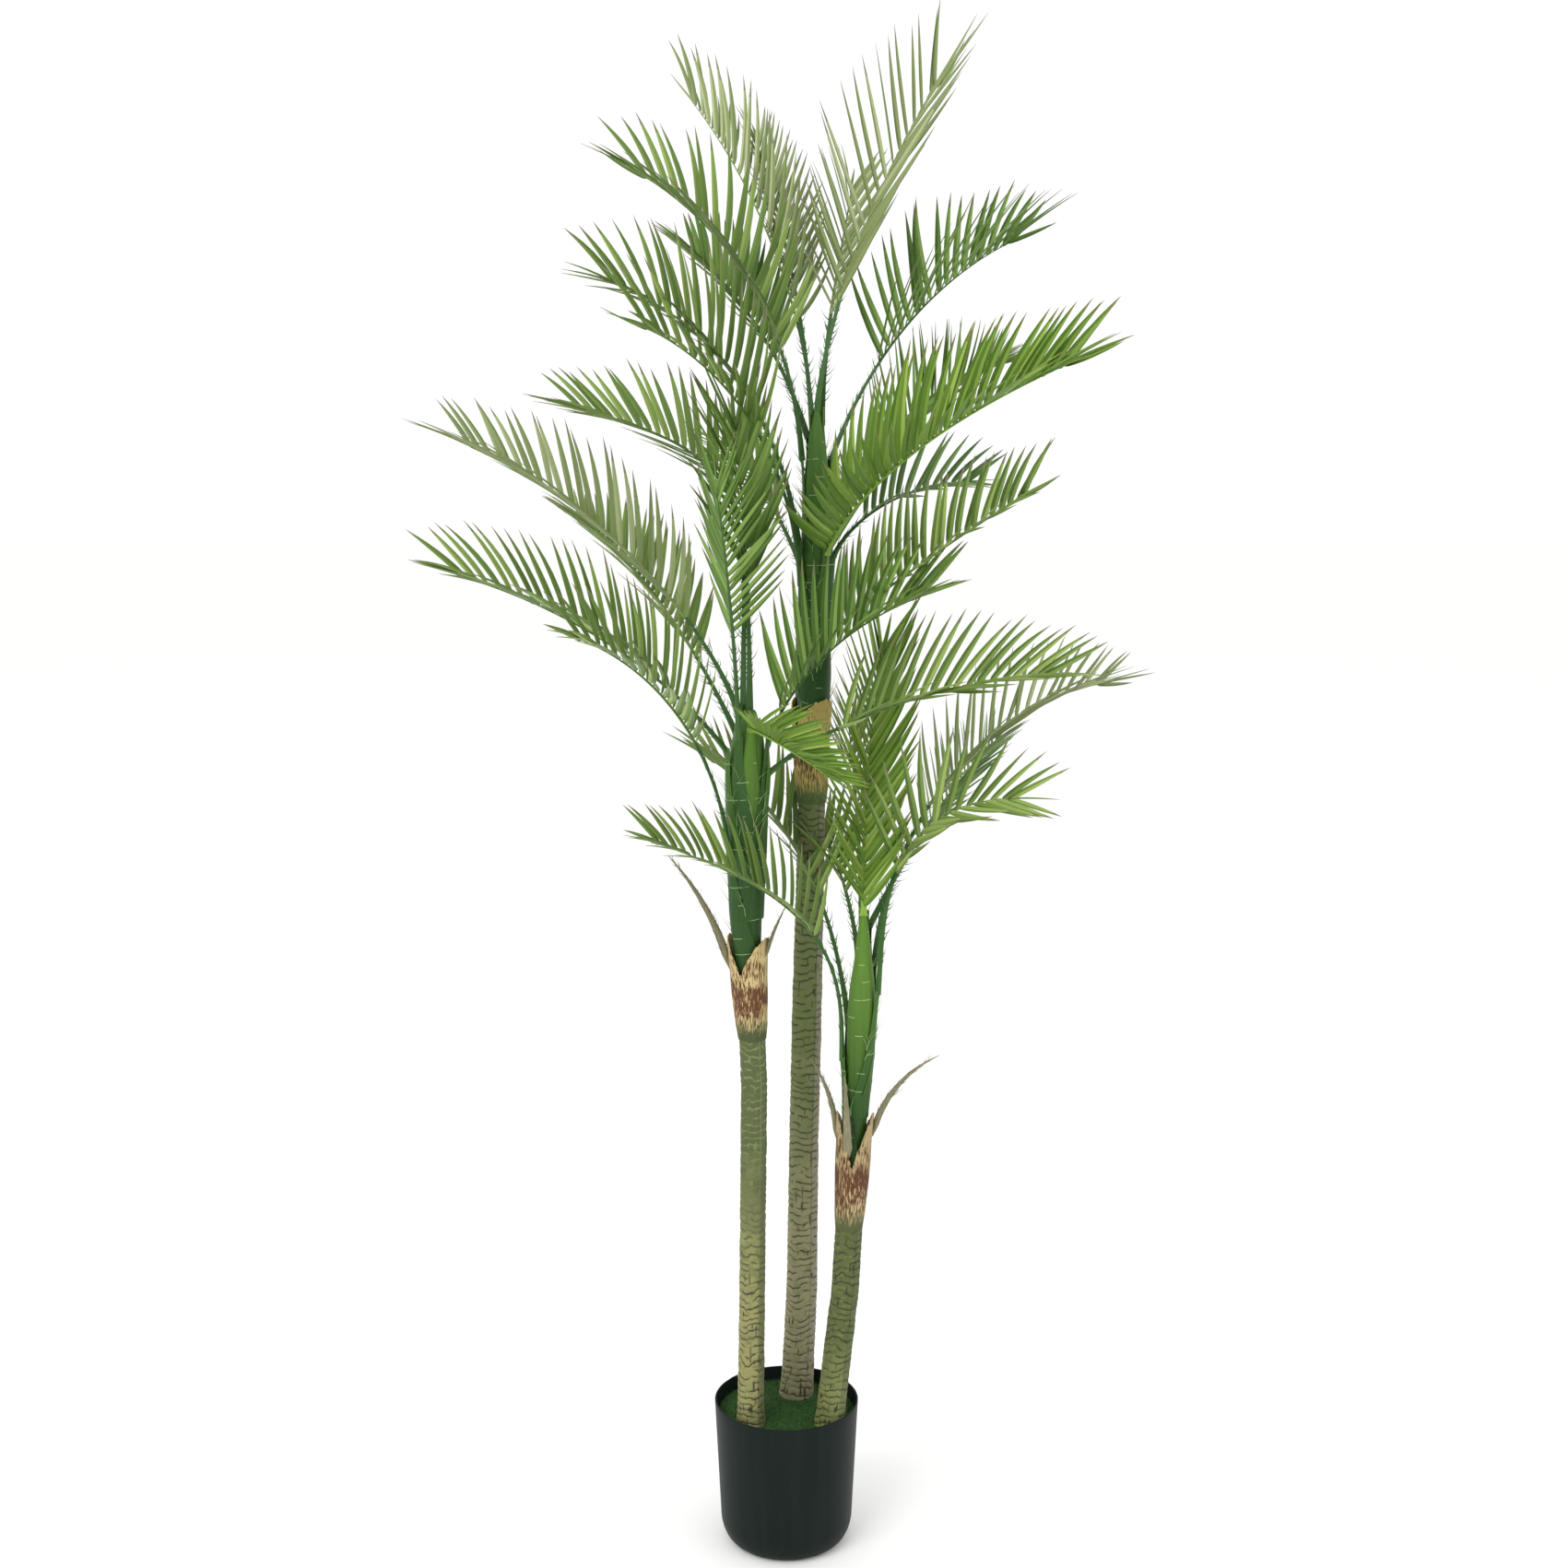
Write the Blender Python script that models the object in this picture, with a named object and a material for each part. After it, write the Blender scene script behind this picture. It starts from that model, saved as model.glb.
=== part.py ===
"""An artificial date palm: three plastic stems with their fronds in a plain pot, 1.8 m tall.

Metres, +Z up. The origin is the middle of the pot's flat underside. +X is to the right of
the front view and +Y goes away from it. Each stem is a trunk, a dry husk, a green crownshaft
and the fronds that leave it, and each frond is one thin folded blade on its stalk.
"""

from collections import namedtuple
from math import cos, pi, radians, sin

import bmesh
import bpy
from mathutils import Vector
from mathutils.bvhtree import BVHTree

MM = 0.001
GAP = 0.0003

# Pot: a turned shell with a rounded foot, straight sides and a thin plain rim.
POT_HEIGHT = 0.179
POT_RIM_RADIUS = 0.0875
POT_SIDE_RADIUS = 0.0805  # where the straight side meets the rounded foot
POT_FOOT_RADIUS = 0.062  # flat underside
POT_FOOT_RISE = 0.034
POT_WALL = 0.0025
POT_FLOOR = 0.005
POT_SIDES = 40
POT_FOOT_STEPS = 6

# The cast filling that the trunks stand on, and the green mat that covers it.
FILLING_SLACK = 0.0012  # between the filling or the mat and the pot's wall
FILLING_FOOT = 0.01  # height where the filling reaches the pot's rounded foot
FILLING_CHAMFER = 0.002
FILLING_TOP = 0.159
MAT_THICKNESS = 0.005
HOLE_CLEARANCE = 1  # mm between the mat and a trunk
HOLE_ENDS = (150, 175)  # heights in mm, below and above the mat
HOLE_SIDES = 16

# Stems: rings are in mm, so their walls and clearances are too.
HUSK_WALL = 1.6
CLEARANCE = 0.6  # between the husk and the crownshaft inside it
TRUNK_SIDES = 12
SHAFT_SIDES = 16
TRUNK_STEPS = 9
TRUNK_LUMPS = 0.015  # share of the radius by which a trunk swells and narrows
LUMP_TURN = 2.3  # radians of the swelling from one ring to the next

# Dry tips: half sizes at the foot of the strip, which narrows to its point.
SPIKE_HALF_WIDTH = 0.003
SPIKE_HALF_DEPTH = 0.0009
SPIKE_TAPER = 0.85
SPIKE_RINGS = 7

# Stalk and rib of a frond: half widths across the blade, and half thicknesses, base to tip.
STALK_HALF_WIDTH = 0.0036
STALK_HALF_DEPTH = 0.0026
STALK_TAPER = 0.4
STALK_CLEARANCE = 1.2  # mm between a stalk and the crownshaft
RIB_HALF_DEPTH = 0.0012
RIB_END = 0.045  # the rib ends this far short of the last leaflet's tip
STALK_RINGS = 5
BLADE_RINGS = 9

# Leaflets, whose tips are the blade's edge. Each side of the blade stands FOLD from the
# fold's middle plane, and the leaflets lean from the rib by the sweep, foot to tip.
FOLD = radians(45)
FOOT_SWEEP = {"pale": 42, "bright": 52, "mid": 49, "deep": 52, "grey": 48}  # degrees, by tint
PLUME_SWEEP = {"left_08": 38, "right_04": 38}  # the upright plumes in the middle of a stem
TIP_SWEEP = radians(25)
SWEEP_POWER = 2
FULL_FROM = 0.3  # share of the blade's length where the leaflets reach their full length
FOOT_REACH = 0.82  # share of the full length that the lowest leaflets have
TIP_LOSS = 0.5

# Neighbours that meet are cut back in steps.
TEST_MARGIN = 0.0004  # extra half thickness of a blade while it is tested
CUT = 0.85
CUT_MORE = 0.01  # taken off as well at each step, so that a blade can be cut away whole
MOST_CUTS = 60

# A stem's rings: height, sideways place of its axis and radius, in mm, from the mat up.
Stem = namedtuple("Stem", "depth trunk husk shaft notch flap turned")
STEMS = {
    "left": Stem(
        depth=-35,
        trunk=[(160, -43, 18), (185, -43, 16), (330, -41, 15.5), (585, -38, 15.5), (646, -40, 15.5)],
        husk=[(646.3, -40, 16.5), (685, -42, 19), (722, -44, 20.5), (775, -45, 22)],
        shaft=[
            (716, -44, 14.5), (790, -46, 18.5), (870, -46.5, 22.5),
            (960, -46, 22.5), (1000, -44, 19.5), (1030, -42, 10),
        ],
        notch=722,
        flap=46,
        turned=-115,
    ),
    "middle": Stem(
        depth=46,
        trunk=[(160, 12, 22), (190, 14, 20), (300, 19, 19), (475, 21, 18), (673, 25, 18), (912, 30, 16)],
        husk=[(912.3, 30, 17.5), (950, 29, 19), (1000, 29, 21), (1040, 30, 22)],
        shaft=[(994, 29, 18), (1080, 31, 19), (1200, 35, 19), (1290, 35, 15), (1340, 35, 10), (1365, 35, 5)],
        notch=1000,
        flap=35,
        turned=-140,
    ),
    "right": Stem(
        depth=-35,
        trunk=[(160, 52, 19.5), (185, 54, 17.5), (285, 64.5, 17), (332, 70, 16.5), (412, 74, 16.5)],
        husk=[(412.3, 74, 17.5), (450, 76, 19), (488, 78, 21), (560, 81, 21)],
        shaft=[
            (482, 78, 13), (560, 82, 15), (618, 85, 17), (670, 87, 17.5),
            (705, 88, 16), (740, 89, 11.5), (770, 89, 8.5), (790, 89, 6),
        ],
        notch=488,
        flap=66,
        turned=-95,
    ),
}

# Dry tips left standing on the husks: the stem, which side they leave it, rise at the foot
# and at the tip, all in degrees, then height of the foot and length in mm.
Spike = namedtuple("Spike", "name stem azimuth rise tip height length")
SPIKES = [
    Spike("dry_tip_left_long", "left", 178, 75, 48, 742, 140),
    Spike("dry_tip_left_short", "left", -25, 72, 60, 760, 52),
    Spike("dry_tip_right_thin", "right", 175, 88, 55, 535, 90),
    Spike("dry_tip_right_broad", "right", -110, 84, 78, 520, 92),
    Spike("dry_tip_right_long", "right", -5, 78, 25, 540, 118),
]

# Fronds. Height where the stalk leaves the crownshaft, stalk and whole length and leaflet
# reach are in mm. The heading (0 right, 90 away, 180 left), its drift to the tip, the rise
# above level at the foot and at the tip, and the roll of the blade are in degrees. The rise
# changes by the power of the share of the length, or round a crook at that share.
Frond = namedtuple(
    "Frond",
    "name stem height heading drift rise tip power crook stalk length roll reach tint",
)
FRONDS = [
    Frond("middle_01", "middle", 1362, 130, 0, 88, 38, 0.6, 0, 130, 485, 48, 122, "pale"),
    Frond("middle_02", "middle", 1310, 180, 0, 85, 22, 1.2, 0, 130, 420, -48, 118, "mid"),
    Frond("middle_03", "middle", 1335, 136, 0, 68, 26, 0.9, 0, 110, 330, -21, 100, "deep"),
    Frond("middle_04", "middle", 1214, 205, 0, 80, 8, 1.2, 0, 170, 430, -66, 120, "mid"),
    Frond("middle_05", "middle", 1167, 220, 0, 86, 10, 1.0, 0, 190, 425, -62, 130, "mid"),
    Frond("middle_06", "middle", 1366.2, 36, 0, 85, 51, 0.6, 0, 130, 455, 28, 148, "pale"),
    Frond("middle_07", "middle", 1350, 62, 25, 88, 25, 1.0, 0, 130, 370, 10, 110, "pale"),
    Frond("middle_08", "middle", 1310, 25, 0, 67, 18, 1.1, 0, 130, 395, 4, 138, "deep"),
    Frond("middle_09", "middle", 1205, -60, 50, 52, 22, 0.5, 0, 5, 425, 42, 130, "bright"),
    Frond("middle_10", "middle", 1225, 52, 0, 54, 4, 0.8, 0, 130, 465, 24, 110, "deep"),
    Frond("middle_11", "middle", 1200, -35, 0, 65, -5, 0.6, 0, 60, 250, 58, 90, "grey"),
    Frond("middle_12", "middle", 1110, -45, 0, 34, 26, 1.0, 0, 30, 375, 65, 110, "mid"),
    Frond("middle_13", "middle", 1340, 110, 3, 80, 45, 0.8, 0, 140, 428, 0, 90, "pale"),
    Frond("middle_14", "middle", 1170, 118, 0, 50, 20, 1.0, 0, 100, 300, -45, 100, "mid"),
    Frond("middle_15", "middle", 1130, 82, 0, 41, 10, 1.0, 0, 100, 370, -2, 90, "mid"),
    Frond("left_01", "left", 992, -22, 0, 72, 14, 0.8, 0, 45, 300, 44, 120, "deep"),
    Frond("left_02", "left", 1010, 110, 65, 92, 12, 6.0, 0.52, 260, 525, -42, 100, "mid"),
    Frond("left_03", "left", 1025, 146, 0, 70, 15, 0.55, 0, 130, 555, -26, 125, "pale"),
    Frond("left_04", "left", 1000, 124, 0, 47, 12, 1.0, 0, 120, 480, -10, 100, "mid"),
    Frond("left_05", "left", 985, 205, 0, 52, 14, 0.9, 0, 100, 418, -46, 110, "mid"),
    Frond("left_06", "left", 865, 226, 0, 83, 13, 0.9, 0, 150, 405, -60, 110, "mid"),
    Frond("left_07", "left", 1000, 245, 0, 86, 70, 1.0, 0, 120, 330, 0, 100, "deep"),
    Frond("left_08", "left", 1031.2, 115, 0, 90, 72, 1.2, 0, 145, 360, -25, 130, "deep"),
    Frond("left_09", "left", 1012, -80, 80, 10, -45, 0.8, 0, 10, 190, 0, 70, "bright"),
    Frond("left_10", "left", 960, -16, 0, 42, 3, 0.7, 0, 100, 385, 42, 110, "mid"),
    Frond("right_01", "right", 730, 34, 0, 85, -5, 0.9, 0, 200, 540, 24, 110, "pale"),
    Frond("right_02", "right", 775, 56, 0, 42, 16, 1.0, 0, 150, 400, 18, 80, "grey"),
    Frond("right_03", "right", 700, -28, 0, 86, -5, 3.0, 0.7, 150, 370, 66, 120, "mid"),
    Frond("right_04", "right", 791.2, 72, 0, 90, 45, 1.5, 0, 12, 354, 18, 120, "bright"),
    Frond("right_05", "right", 620, 202, 0, 89, 20, 2.5, 0.38, 160, 430, -48, 90, "mid"),
    Frond("right_06", "right", 655, 130, 30, 80, 20, 1.2, 0, 160, 410, -18, 100, "mid"),
    Frond("right_07", "right", 770, 95, 0, 76, 30, 1.0, 0, 130, 310, 0, 90, "pale"),
    Frond("right_08", "right", 740, 110, 0, 70, 5, 1.0, 0, 80, 230, 0, 100, "mid"),
]

COLOURS = {
    "pot": (0.016, 0.017, 0.018),
    "filling": (0.35, 0.34, 0.31),
    "mat": (0.07, 0.13, 0.03),
    "trunk": (0.17, 0.19, 0.08),
    "husk": (0.38, 0.28, 0.14),
    "shaft": (0.07, 0.17, 0.035),
    "dry": (0.30, 0.26, 0.16),
    "pale": (0.25, 0.36, 0.12),
    "bright": (0.19, 0.33, 0.06),
    "mid": (0.13, 0.24, 0.05),
    "deep": (0.07, 0.17, 0.03),
    "grey": (0.09, 0.18, 0.07),
}


def plain_material(name, colour, roughness):
    """One Principled material of an even colour."""
    material = bpy.data.materials.new(name)
    material.use_nodes = True
    shader = material.node_tree.nodes["Principled BSDF"]
    shader.inputs["Base Color"].default_value = (*COLOURS[colour], 1)
    shader.inputs["Roughness"].default_value = roughness
    shader.inputs["Metallic"].default_value = 0
    return material


def finish(mesh_maker, name, colour, roughness=0.6):
    """Turns a filled bmesh into the named object, with its own material."""
    mesh = bpy.data.meshes.new(name)
    mesh_maker.to_mesh(mesh)
    mesh_maker.free()
    mesh.materials.append(plain_material(name, colour, roughness))
    mesh.shade_smooth()
    mesh.set_sharp_from_angle(angle=radians(35))
    made = bpy.data.objects.new(name, mesh)
    bpy.context.scene.collection.objects.link(made)
    return made


def split(a, b, c, d, from_second):
    """A face of four corners as two triangles, cut from its first or its second corner."""
    return [(a, b, d), (b, c, d)] if from_second else [(a, b, c), (a, c, d)]


def skin(rings, folded=False):
    """A closed body over rings of points, with a cap at both ends. Its faces point out where
    each ring runs anticlockwise as seen from the last one. On a folded blade every other face
    is cut the other way, so that both walls of a side bend alike and never cross."""
    body = bmesh.new()
    rows = [[body.verts.new(point) for point in ring] for ring in rings]
    count = len(rows[0])
    for low, high in zip(rows, rows[1:]):
        for i in range(count):
            j = (i + 1) % count
            for corners in split(low[i], low[j], high[j], high[i], folded and i % 2 == 1):
                body.faces.new(corners)
    body.faces.new(list(reversed(rows[0])))
    body.faces.new(rows[-1])
    return body


def between(rings, height):
    """Sideways place and radius of a stem at a height, read off its rings."""
    for (z0, x0, r0), (z1, x1, r1) in zip(rings, rings[1:]):
        if height <= z1:
            share = max(0.0, (height - z0) / (z1 - z0))
            return x0 + (x1 - x0) * share, r0 + (r1 - r0) * share
    return rings[-1][1], rings[-1][2]


def round_ring(x, y, z, radius, sides, first=0.0):
    """Points of a level circle, in metres from sizes in mm."""
    turns = (first + 2 * pi * k / sides for k in range(sides))
    return [Vector((x + radius * cos(a), y + radius * sin(a), z)) * MM for a in turns]


# ---- Pot -----------------------------------------------------------------------------------


def outer_radius(height):
    """Outside radius of the pot: a quarter ellipse at the foot, then a straight side."""
    if height < POT_FOOT_RISE:
        lift = 1 - height / POT_FOOT_RISE
        return POT_FOOT_RADIUS + (POT_SIDE_RADIUS - POT_FOOT_RADIUS) * (1 - lift**2) ** 0.5
    share = (height - POT_FOOT_RISE) / (POT_HEIGHT - POT_FOOT_RISE)
    return POT_SIDE_RADIUS + (POT_RIM_RADIUS - POT_SIDE_RADIUS) * share


def turned(profile, sides):
    """A closed body from a profile of (radius, height), turned about Z; the ends lie on the axis."""
    body = bmesh.new()
    rows = []
    for radius, height in profile:
        if radius == 0:
            rows.append([body.verts.new((0, 0, height))])
        else:
            turns = (2 * pi * k / sides for k in range(sides))
            rows.append([body.verts.new((radius * cos(a), radius * sin(a), height)) for a in turns])
    for low, high in zip(rows, rows[1:]):
        for i in range(sides):
            j = (i + 1) % sides
            corners = [low[i % len(low)], low[j % len(low)], high[j % len(high)], high[i % len(high)]]
            body.faces.new(list(dict.fromkeys(corners)))
    return body


def build_pot():
    turns = [pi / 2 * k / POT_FOOT_STEPS for k in range(POT_FOOT_STEPS + 1)]
    foot = [POT_FOOT_RISE * (1 - cos(turn)) for turn in turns]
    outside = [(outer_radius(z), z) for z in foot] + [(POT_RIM_RADIUS, POT_HEIGHT)]
    inner_foot = [z for z in foot if z > POT_FLOOR]
    inside = [(outer_radius(z) - POT_WALL, z) for z in reversed(inner_foot)]
    floor = outer_radius(POT_FLOOR) - POT_WALL
    rim = (POT_RIM_RADIUS - POT_WALL, POT_HEIGHT)
    profile = [(0, 0), *outside, rim, *inside, (floor, POT_FLOOR), (0, POT_FLOOR)]
    finish(turned(profile, POT_SIDES), "pot", "pot", 0.4)


def build_filling():
    """The cast block that fills the pot up to the mat."""
    low = POT_FLOOR + GAP
    slack = POT_WALL + FILLING_SLACK
    steps = [FILLING_FOOT, POT_FOOT_RISE / 2, POT_FOOT_RISE, FILLING_TOP]
    side = [(outer_radius(z) - slack, z) for z in steps]
    start = outer_radius(low) - slack - FILLING_CHAMFER
    profile = [(0, low), (start, low), *side, (0, FILLING_TOP)]
    finish(turned(profile, POT_SIDES), "pot_filling", "filling", 0.9)


def build_mat():
    """The green mat: a thin disc with a hole round each trunk."""
    low = FILLING_TOP + GAP
    edge = outer_radius(low) - POT_WALL - FILLING_SLACK
    profile = [(0, low), (edge, low), (edge, low + MAT_THICKNESS), (0, low + MAT_THICKNESS)]
    mat = finish(turned(profile, POT_SIDES), "green_mat", "mat", 0.95)
    for name, stem in STEMS.items():
        x, radius = between(stem.trunk, FILLING_TOP / MM)
        wide = radius + HOLE_CLEARANCE
        rings = [round_ring(x, stem.depth, z, wide, HOLE_SIDES) for z in HOLE_ENDS]
        cutter = finish(skin(rings), f"hole_{name}", "mat")
        cutter.hide_render = True
        cutter.display_type = "WIRE"
        cut = mat.modifiers.new(f"hole for the {name} trunk", "BOOLEAN")
        cut.object = cutter
        cut.operation = "DIFFERENCE"


# ---- Stems ---------------------------------------------------------------------------------


def build_trunk(name, stem):
    """The bare trunk, a little lumpy, from its flat foot on the filling to the husk."""
    top = stem.trunk[-1][0]
    foot = FILLING_TOP / MM + GAP / MM
    heights = [foot, stem.trunk[1][0]]
    heights += [foot + (top - foot) * (k + 1) / TRUNK_STEPS for k in range(TRUNK_STEPS)]
    rings = []
    for k, z in enumerate(sorted(heights)):
        x, radius = between(stem.trunk, z)
        lumpy = radius * (1 + TRUNK_LUMPS * sin(LUMP_TURN * k))
        rings.append(round_ring(x, stem.depth, z, lumpy, TRUNK_SIDES))
    finish(skin(rings), f"trunk_{name}", "trunk", 0.8)


def husk_rim(stem, turn):
    """Height of the husk's torn edge: two notches, and a flap on each side of them, in mm."""
    lobe = abs(sin(turn - radians(stem.turned)))
    return stem.notch + stem.flap * lobe**0.8


def build_husk(name, stem):
    """A dry sheath: solid round the top of the trunk, then a thin cup that holds the shaft."""
    turns = [2 * pi * k / SHAFT_SIDES for k in range(SHAFT_SIDES)]
    floor = stem.shaft[0][0] - GAP / MM

    def point(turn, z, radius):
        x, _ = between(stem.husk, z)
        return Vector((x + radius * cos(turn), stem.depth + radius * sin(turn), z)) * MM

    def outside(z):
        inner = between(stem.shaft, z)[1] + CLEARANCE
        return max(between(stem.husk, z)[1], inner + HUSK_WALL)

    rings = []
    for z in (stem.husk[0][0], stem.husk[1][0], stem.notch - 1):
        rings.append([point(a, z, outside(z)) for a in turns])
    rims = [husk_rim(stem, a) for a in turns]
    rings.append([point(a, z, outside(z)) for a, z in zip(turns, rims)])
    rings.append([shaft_side(stem, a, z) for a, z in zip(turns, rims)])
    middle = [(floor + z) / 2 for z in rims]
    rings.append([shaft_side(stem, a, z) for a, z in zip(turns, middle)])
    rings.append([shaft_side(stem, a, floor) for a in turns])
    finish(skin(rings), f"husk_{name}", "husk", 0.85)


def shaft_side(stem, turn, z):
    """A point just clear of the crownshaft's side, for what lies round it."""
    x, radius = between(stem.shaft, z)
    away = radius + CLEARANCE
    return Vector((x + away * cos(turn), stem.depth + away * sin(turn), z)) * MM


def build_shaft(name, stem):
    """The green crownshaft, from inside the husk to the point where the last stalk leaves it."""
    rings = []
    for (z0, *_), (z1, *_) in zip(stem.shaft, stem.shaft[1:]):
        for z in (z0, (z0 + z1) / 2):
            x, radius = between(stem.shaft, z)
            rings.append(round_ring(x, stem.depth, z, radius, SHAFT_SIDES))
    z, x, radius = stem.shaft[-1]
    rings.append(round_ring(x, stem.depth, z, radius, SHAFT_SIDES))
    finish(skin(rings), f"crownshaft_{name}", "shaft", 0.45)


# ---- Arched ribs, shared by the dry tips and the fronds -------------------------------------


def rib_path(start, heading, drift, rise, tip, power, crook, length, steps=40):
    """Points and directions along an arching rib, one per step, from its foot to its tip."""
    place = Vector(start)
    path = []
    for k in range(steps + 1):
        share = k / steps
        bent = share**power
        if crook:
            bent = (1 + crook**power) * bent / (bent + crook**power)
        slope = radians(rise + (tip - rise) * bent)
        turn = radians(heading + drift * share)
        ahead = Vector((cos(turn), sin(turn), 0))
        along = ahead * cos(slope) + Vector((0, 0, sin(slope)))
        upward = Vector((0, 0, cos(slope))) - ahead * sin(slope)
        path.append((place.copy(), along, upward))
        place += along * (length / steps)
    return path


def read_path(path, share):
    """Place, direction and upward side of a rib at a share of its length."""
    spot = min(max(share, 0.0), 1.0) * (len(path) - 1)
    k = min(int(spot), len(path) - 2)
    rest = spot - k
    return [a.lerp(b, rest) for a, b in zip(path[k], path[k + 1])]


def build_spike(spike):
    """A dry tip: a thin pointed strip that leaves the outside of its husk."""
    stem = STEMS[spike.stem]
    x, radius = between(stem.husk, spike.height)
    shaft_radius = between(stem.shaft, spike.height)[1]
    away = max(radius, shaft_radius + CLEARANCE + HUSK_WALL + GAP / MM) + HUSK_WALL
    turn = radians(spike.azimuth)
    start = Vector((x + away * cos(turn), stem.depth + away * sin(turn), spike.height)) * MM
    path = rib_path(start, spike.azimuth, 0, spike.rise, spike.tip, 1, 0, spike.length * MM)
    rings = []
    for k in range(SPIKE_RINGS):
        share = k / (SPIKE_RINGS - 1)
        place, along, upward = read_path(path, share)
        across = along.cross(upward)
        size = 1 - SPIKE_TAPER * share
        wide = across * SPIKE_HALF_WIDTH * size
        thick = upward * SPIKE_HALF_DEPTH * size
        rings.append([place + wide, place - thick, place - wide, place + thick])
    finish(skin(rings), spike.name, "dry", 0.85)


# ---- Fronds --------------------------------------------------------------------------------


class Blade:
    """A frond's folded blade, which can be cut back where it would meet a neighbour. Its stalk
    stands beside the crownshaft, or on the shaft's end where it starts above that."""

    def __init__(self, frond):
        stem = STEMS[frond.stem]
        tops = [r for z, _, r in stem.shaft if z >= frond.height]
        x, radius = between(stem.shaft, frond.height)
        away = max([radius, *tops]) + STALK_HALF_DEPTH / MM + STALK_CLEARANCE if tops else 0
        turn = radians(frond.heading)
        start = Vector((x + away * cos(turn), stem.depth + away * sin(turn), frond.height)) * MM
        self.frond = frond
        self.path = rib_path(
            start,
            frond.heading,
            frond.drift,
            frond.rise,
            frond.tip,
            frond.power,
            frond.crook,
            frond.length * MM,
        )
        self.keep = [[1.0] * BLADE_RINGS, [1.0] * BLADE_RINGS]

    def frame(self, share):
        """Place, direction, the way the fold opens and its side, after the frond's roll."""
        place, along, upward = read_path(self.path, share)
        across = along.cross(upward)
        roll = radians(self.frond.roll)
        middle = upward * cos(roll) + across * sin(roll)
        side = across * cos(roll) - upward * sin(roll)
        return place, along, middle, side

    def ring(self, share, spread, keep, depth):
        """Four points round the rib: the two edges of the blade, the keel and the groove."""
        place, along, middle, side = self.frame(share)
        edges = []
        for sign, kept in zip((1, -1), keep):
            if spread is None:
                edges.append(place + side * sign * STALK_HALF_WIDTH * (1 - STALK_TAPER * share))
            else:
                reach, sweep = spread
                row = middle * cos(FOLD) + side * sign * sin(FOLD)
                leaflet = (along * cos(sweep) + row * sin(sweep)) * reach * kept
                edges.append(place + leaflet + row * RIB_HALF_DEPTH)
        return [edges[0], place - middle * depth, edges[1], place + middle * depth]

    def rings(self, margin=0.0):
        """Rings from the stalk's foot to the tip. The leaflets shorten and close up towards it."""
        frond = self.frond
        bare = frond.stalk / frond.length
        last = 1 - RIB_END / MM / frond.length
        lowest = radians(PLUME_SWEEP.get(frond.name, FOOT_SWEEP[frond.tint]))
        made = []
        for k in range(STALK_RINGS):
            share = bare * k / STALK_RINGS
            depth = STALK_HALF_DEPTH * (1 - STALK_TAPER * share / bare)
            made.append(self.ring(share, None, (1, 1), depth + margin))
        for k in range(BLADE_RINGS):
            part = k / (BLADE_RINGS - 1)
            keep = (self.keep[0][k], self.keep[1][k])
            gain = (1 - FOOT_REACH) * min(part / FULL_FROM, 1)
            loss = TIP_LOSS * max(part - FULL_FROM, 0) ** 1.5
            reach = frond.reach * MM * (FOOT_REACH + gain - loss)
            sweep = lowest + (TIP_SWEEP - lowest) * part**SWEEP_POWER
            depth = (1 - STALK_TAPER) * STALK_HALF_DEPTH * (1 - part) + RIB_HALF_DEPTH * part
            share = bare + (last - bare) * part
            made.append(self.ring(share, (reach, sweep), keep, depth + margin))
        tip, _, middle, side = self.frame(1)
        across = side * RIB_HALF_DEPTH / 2
        lift = middle * RIB_HALF_DEPTH / 3
        made.append([tip + across, tip - lift, tip - across, tip + lift])
        return made

    def triangles(self):
        """Corners, triangles and, for each triangle, the blade ring and side it belongs to."""
        rings = self.rings(TEST_MARGIN)
        corners = [point for ring in rings for point in ring]
        faces = []
        owners = []
        for k in range(len(rings) - 1):
            for i in range(4):
                a, b = 4 * k + i, 4 * k + (i + 1) % 4
                faces += split(a, b, b + 4, a + 4, i % 2 == 1)
                side = 0 if i in (0, 3) else 1
                owners += [(k - STALK_RINGS, side)] * 2
        return corners, faces, owners

    def tree(self):
        corners, faces, self.owners = self.triangles()
        return BVHTree.FromPolygons(corners, faces)

    def size_at(self, triangle):
        """How much of the blade is left at a triangle: none on the stalk."""
        ring, side = self.owners[triangle]
        if ring + 1 < 0:
            return 0.0
        near = [k for k in (ring, ring + 1) if 0 <= k < BLADE_RINGS]
        return max(self.keep[side][k] for k in near) if near else 0.0

    def cut_back(self, triangle):
        ring, side = self.owners[triangle]
        for k in (ring, ring + 1):
            if 0 <= k < BLADE_RINGS:
                self.keep[side][k] = max(0.0, self.keep[side][k] * CUT - CUT_MORE)


def solid_tree(made):
    """A search tree over a finished object, with its modifiers."""
    return BVHTree.FromObject(made, bpy.context.evaluated_depsgraph_get())


def clear_each_other(blades, fixed):
    """Cuts blades back, a little at a time, until none of them meets another or a stem.
    Where two meet, the fuller one gives way. It returns the pairs that still meet."""
    for _ in range(MOST_CUTS):
        trees = [blade.tree() for blade in blades]
        left = set()
        cuts = set()
        for i, blade in enumerate(blades):
            for name, tree in fixed.items():
                for mine, _ in trees[i].overlap(tree):
                    left.add((blade.frond.name, name))
                    cuts.add((i, mine))
            for j in range(i + 1, len(blades)):
                for mine, other in trees[i].overlap(trees[j]):
                    left.add((blade.frond.name, blades[j].frond.name))
                    if blade.size_at(mine) >= blades[j].size_at(other):
                        cuts.add((i, mine))
                    else:
                        cuts.add((j, other))
        if not left:
            break
        for i, triangle in {(i, blades[i].owners[t]): (i, t) for i, t in cuts}.values():
            blades[i].cut_back(triangle)
    return left


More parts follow.
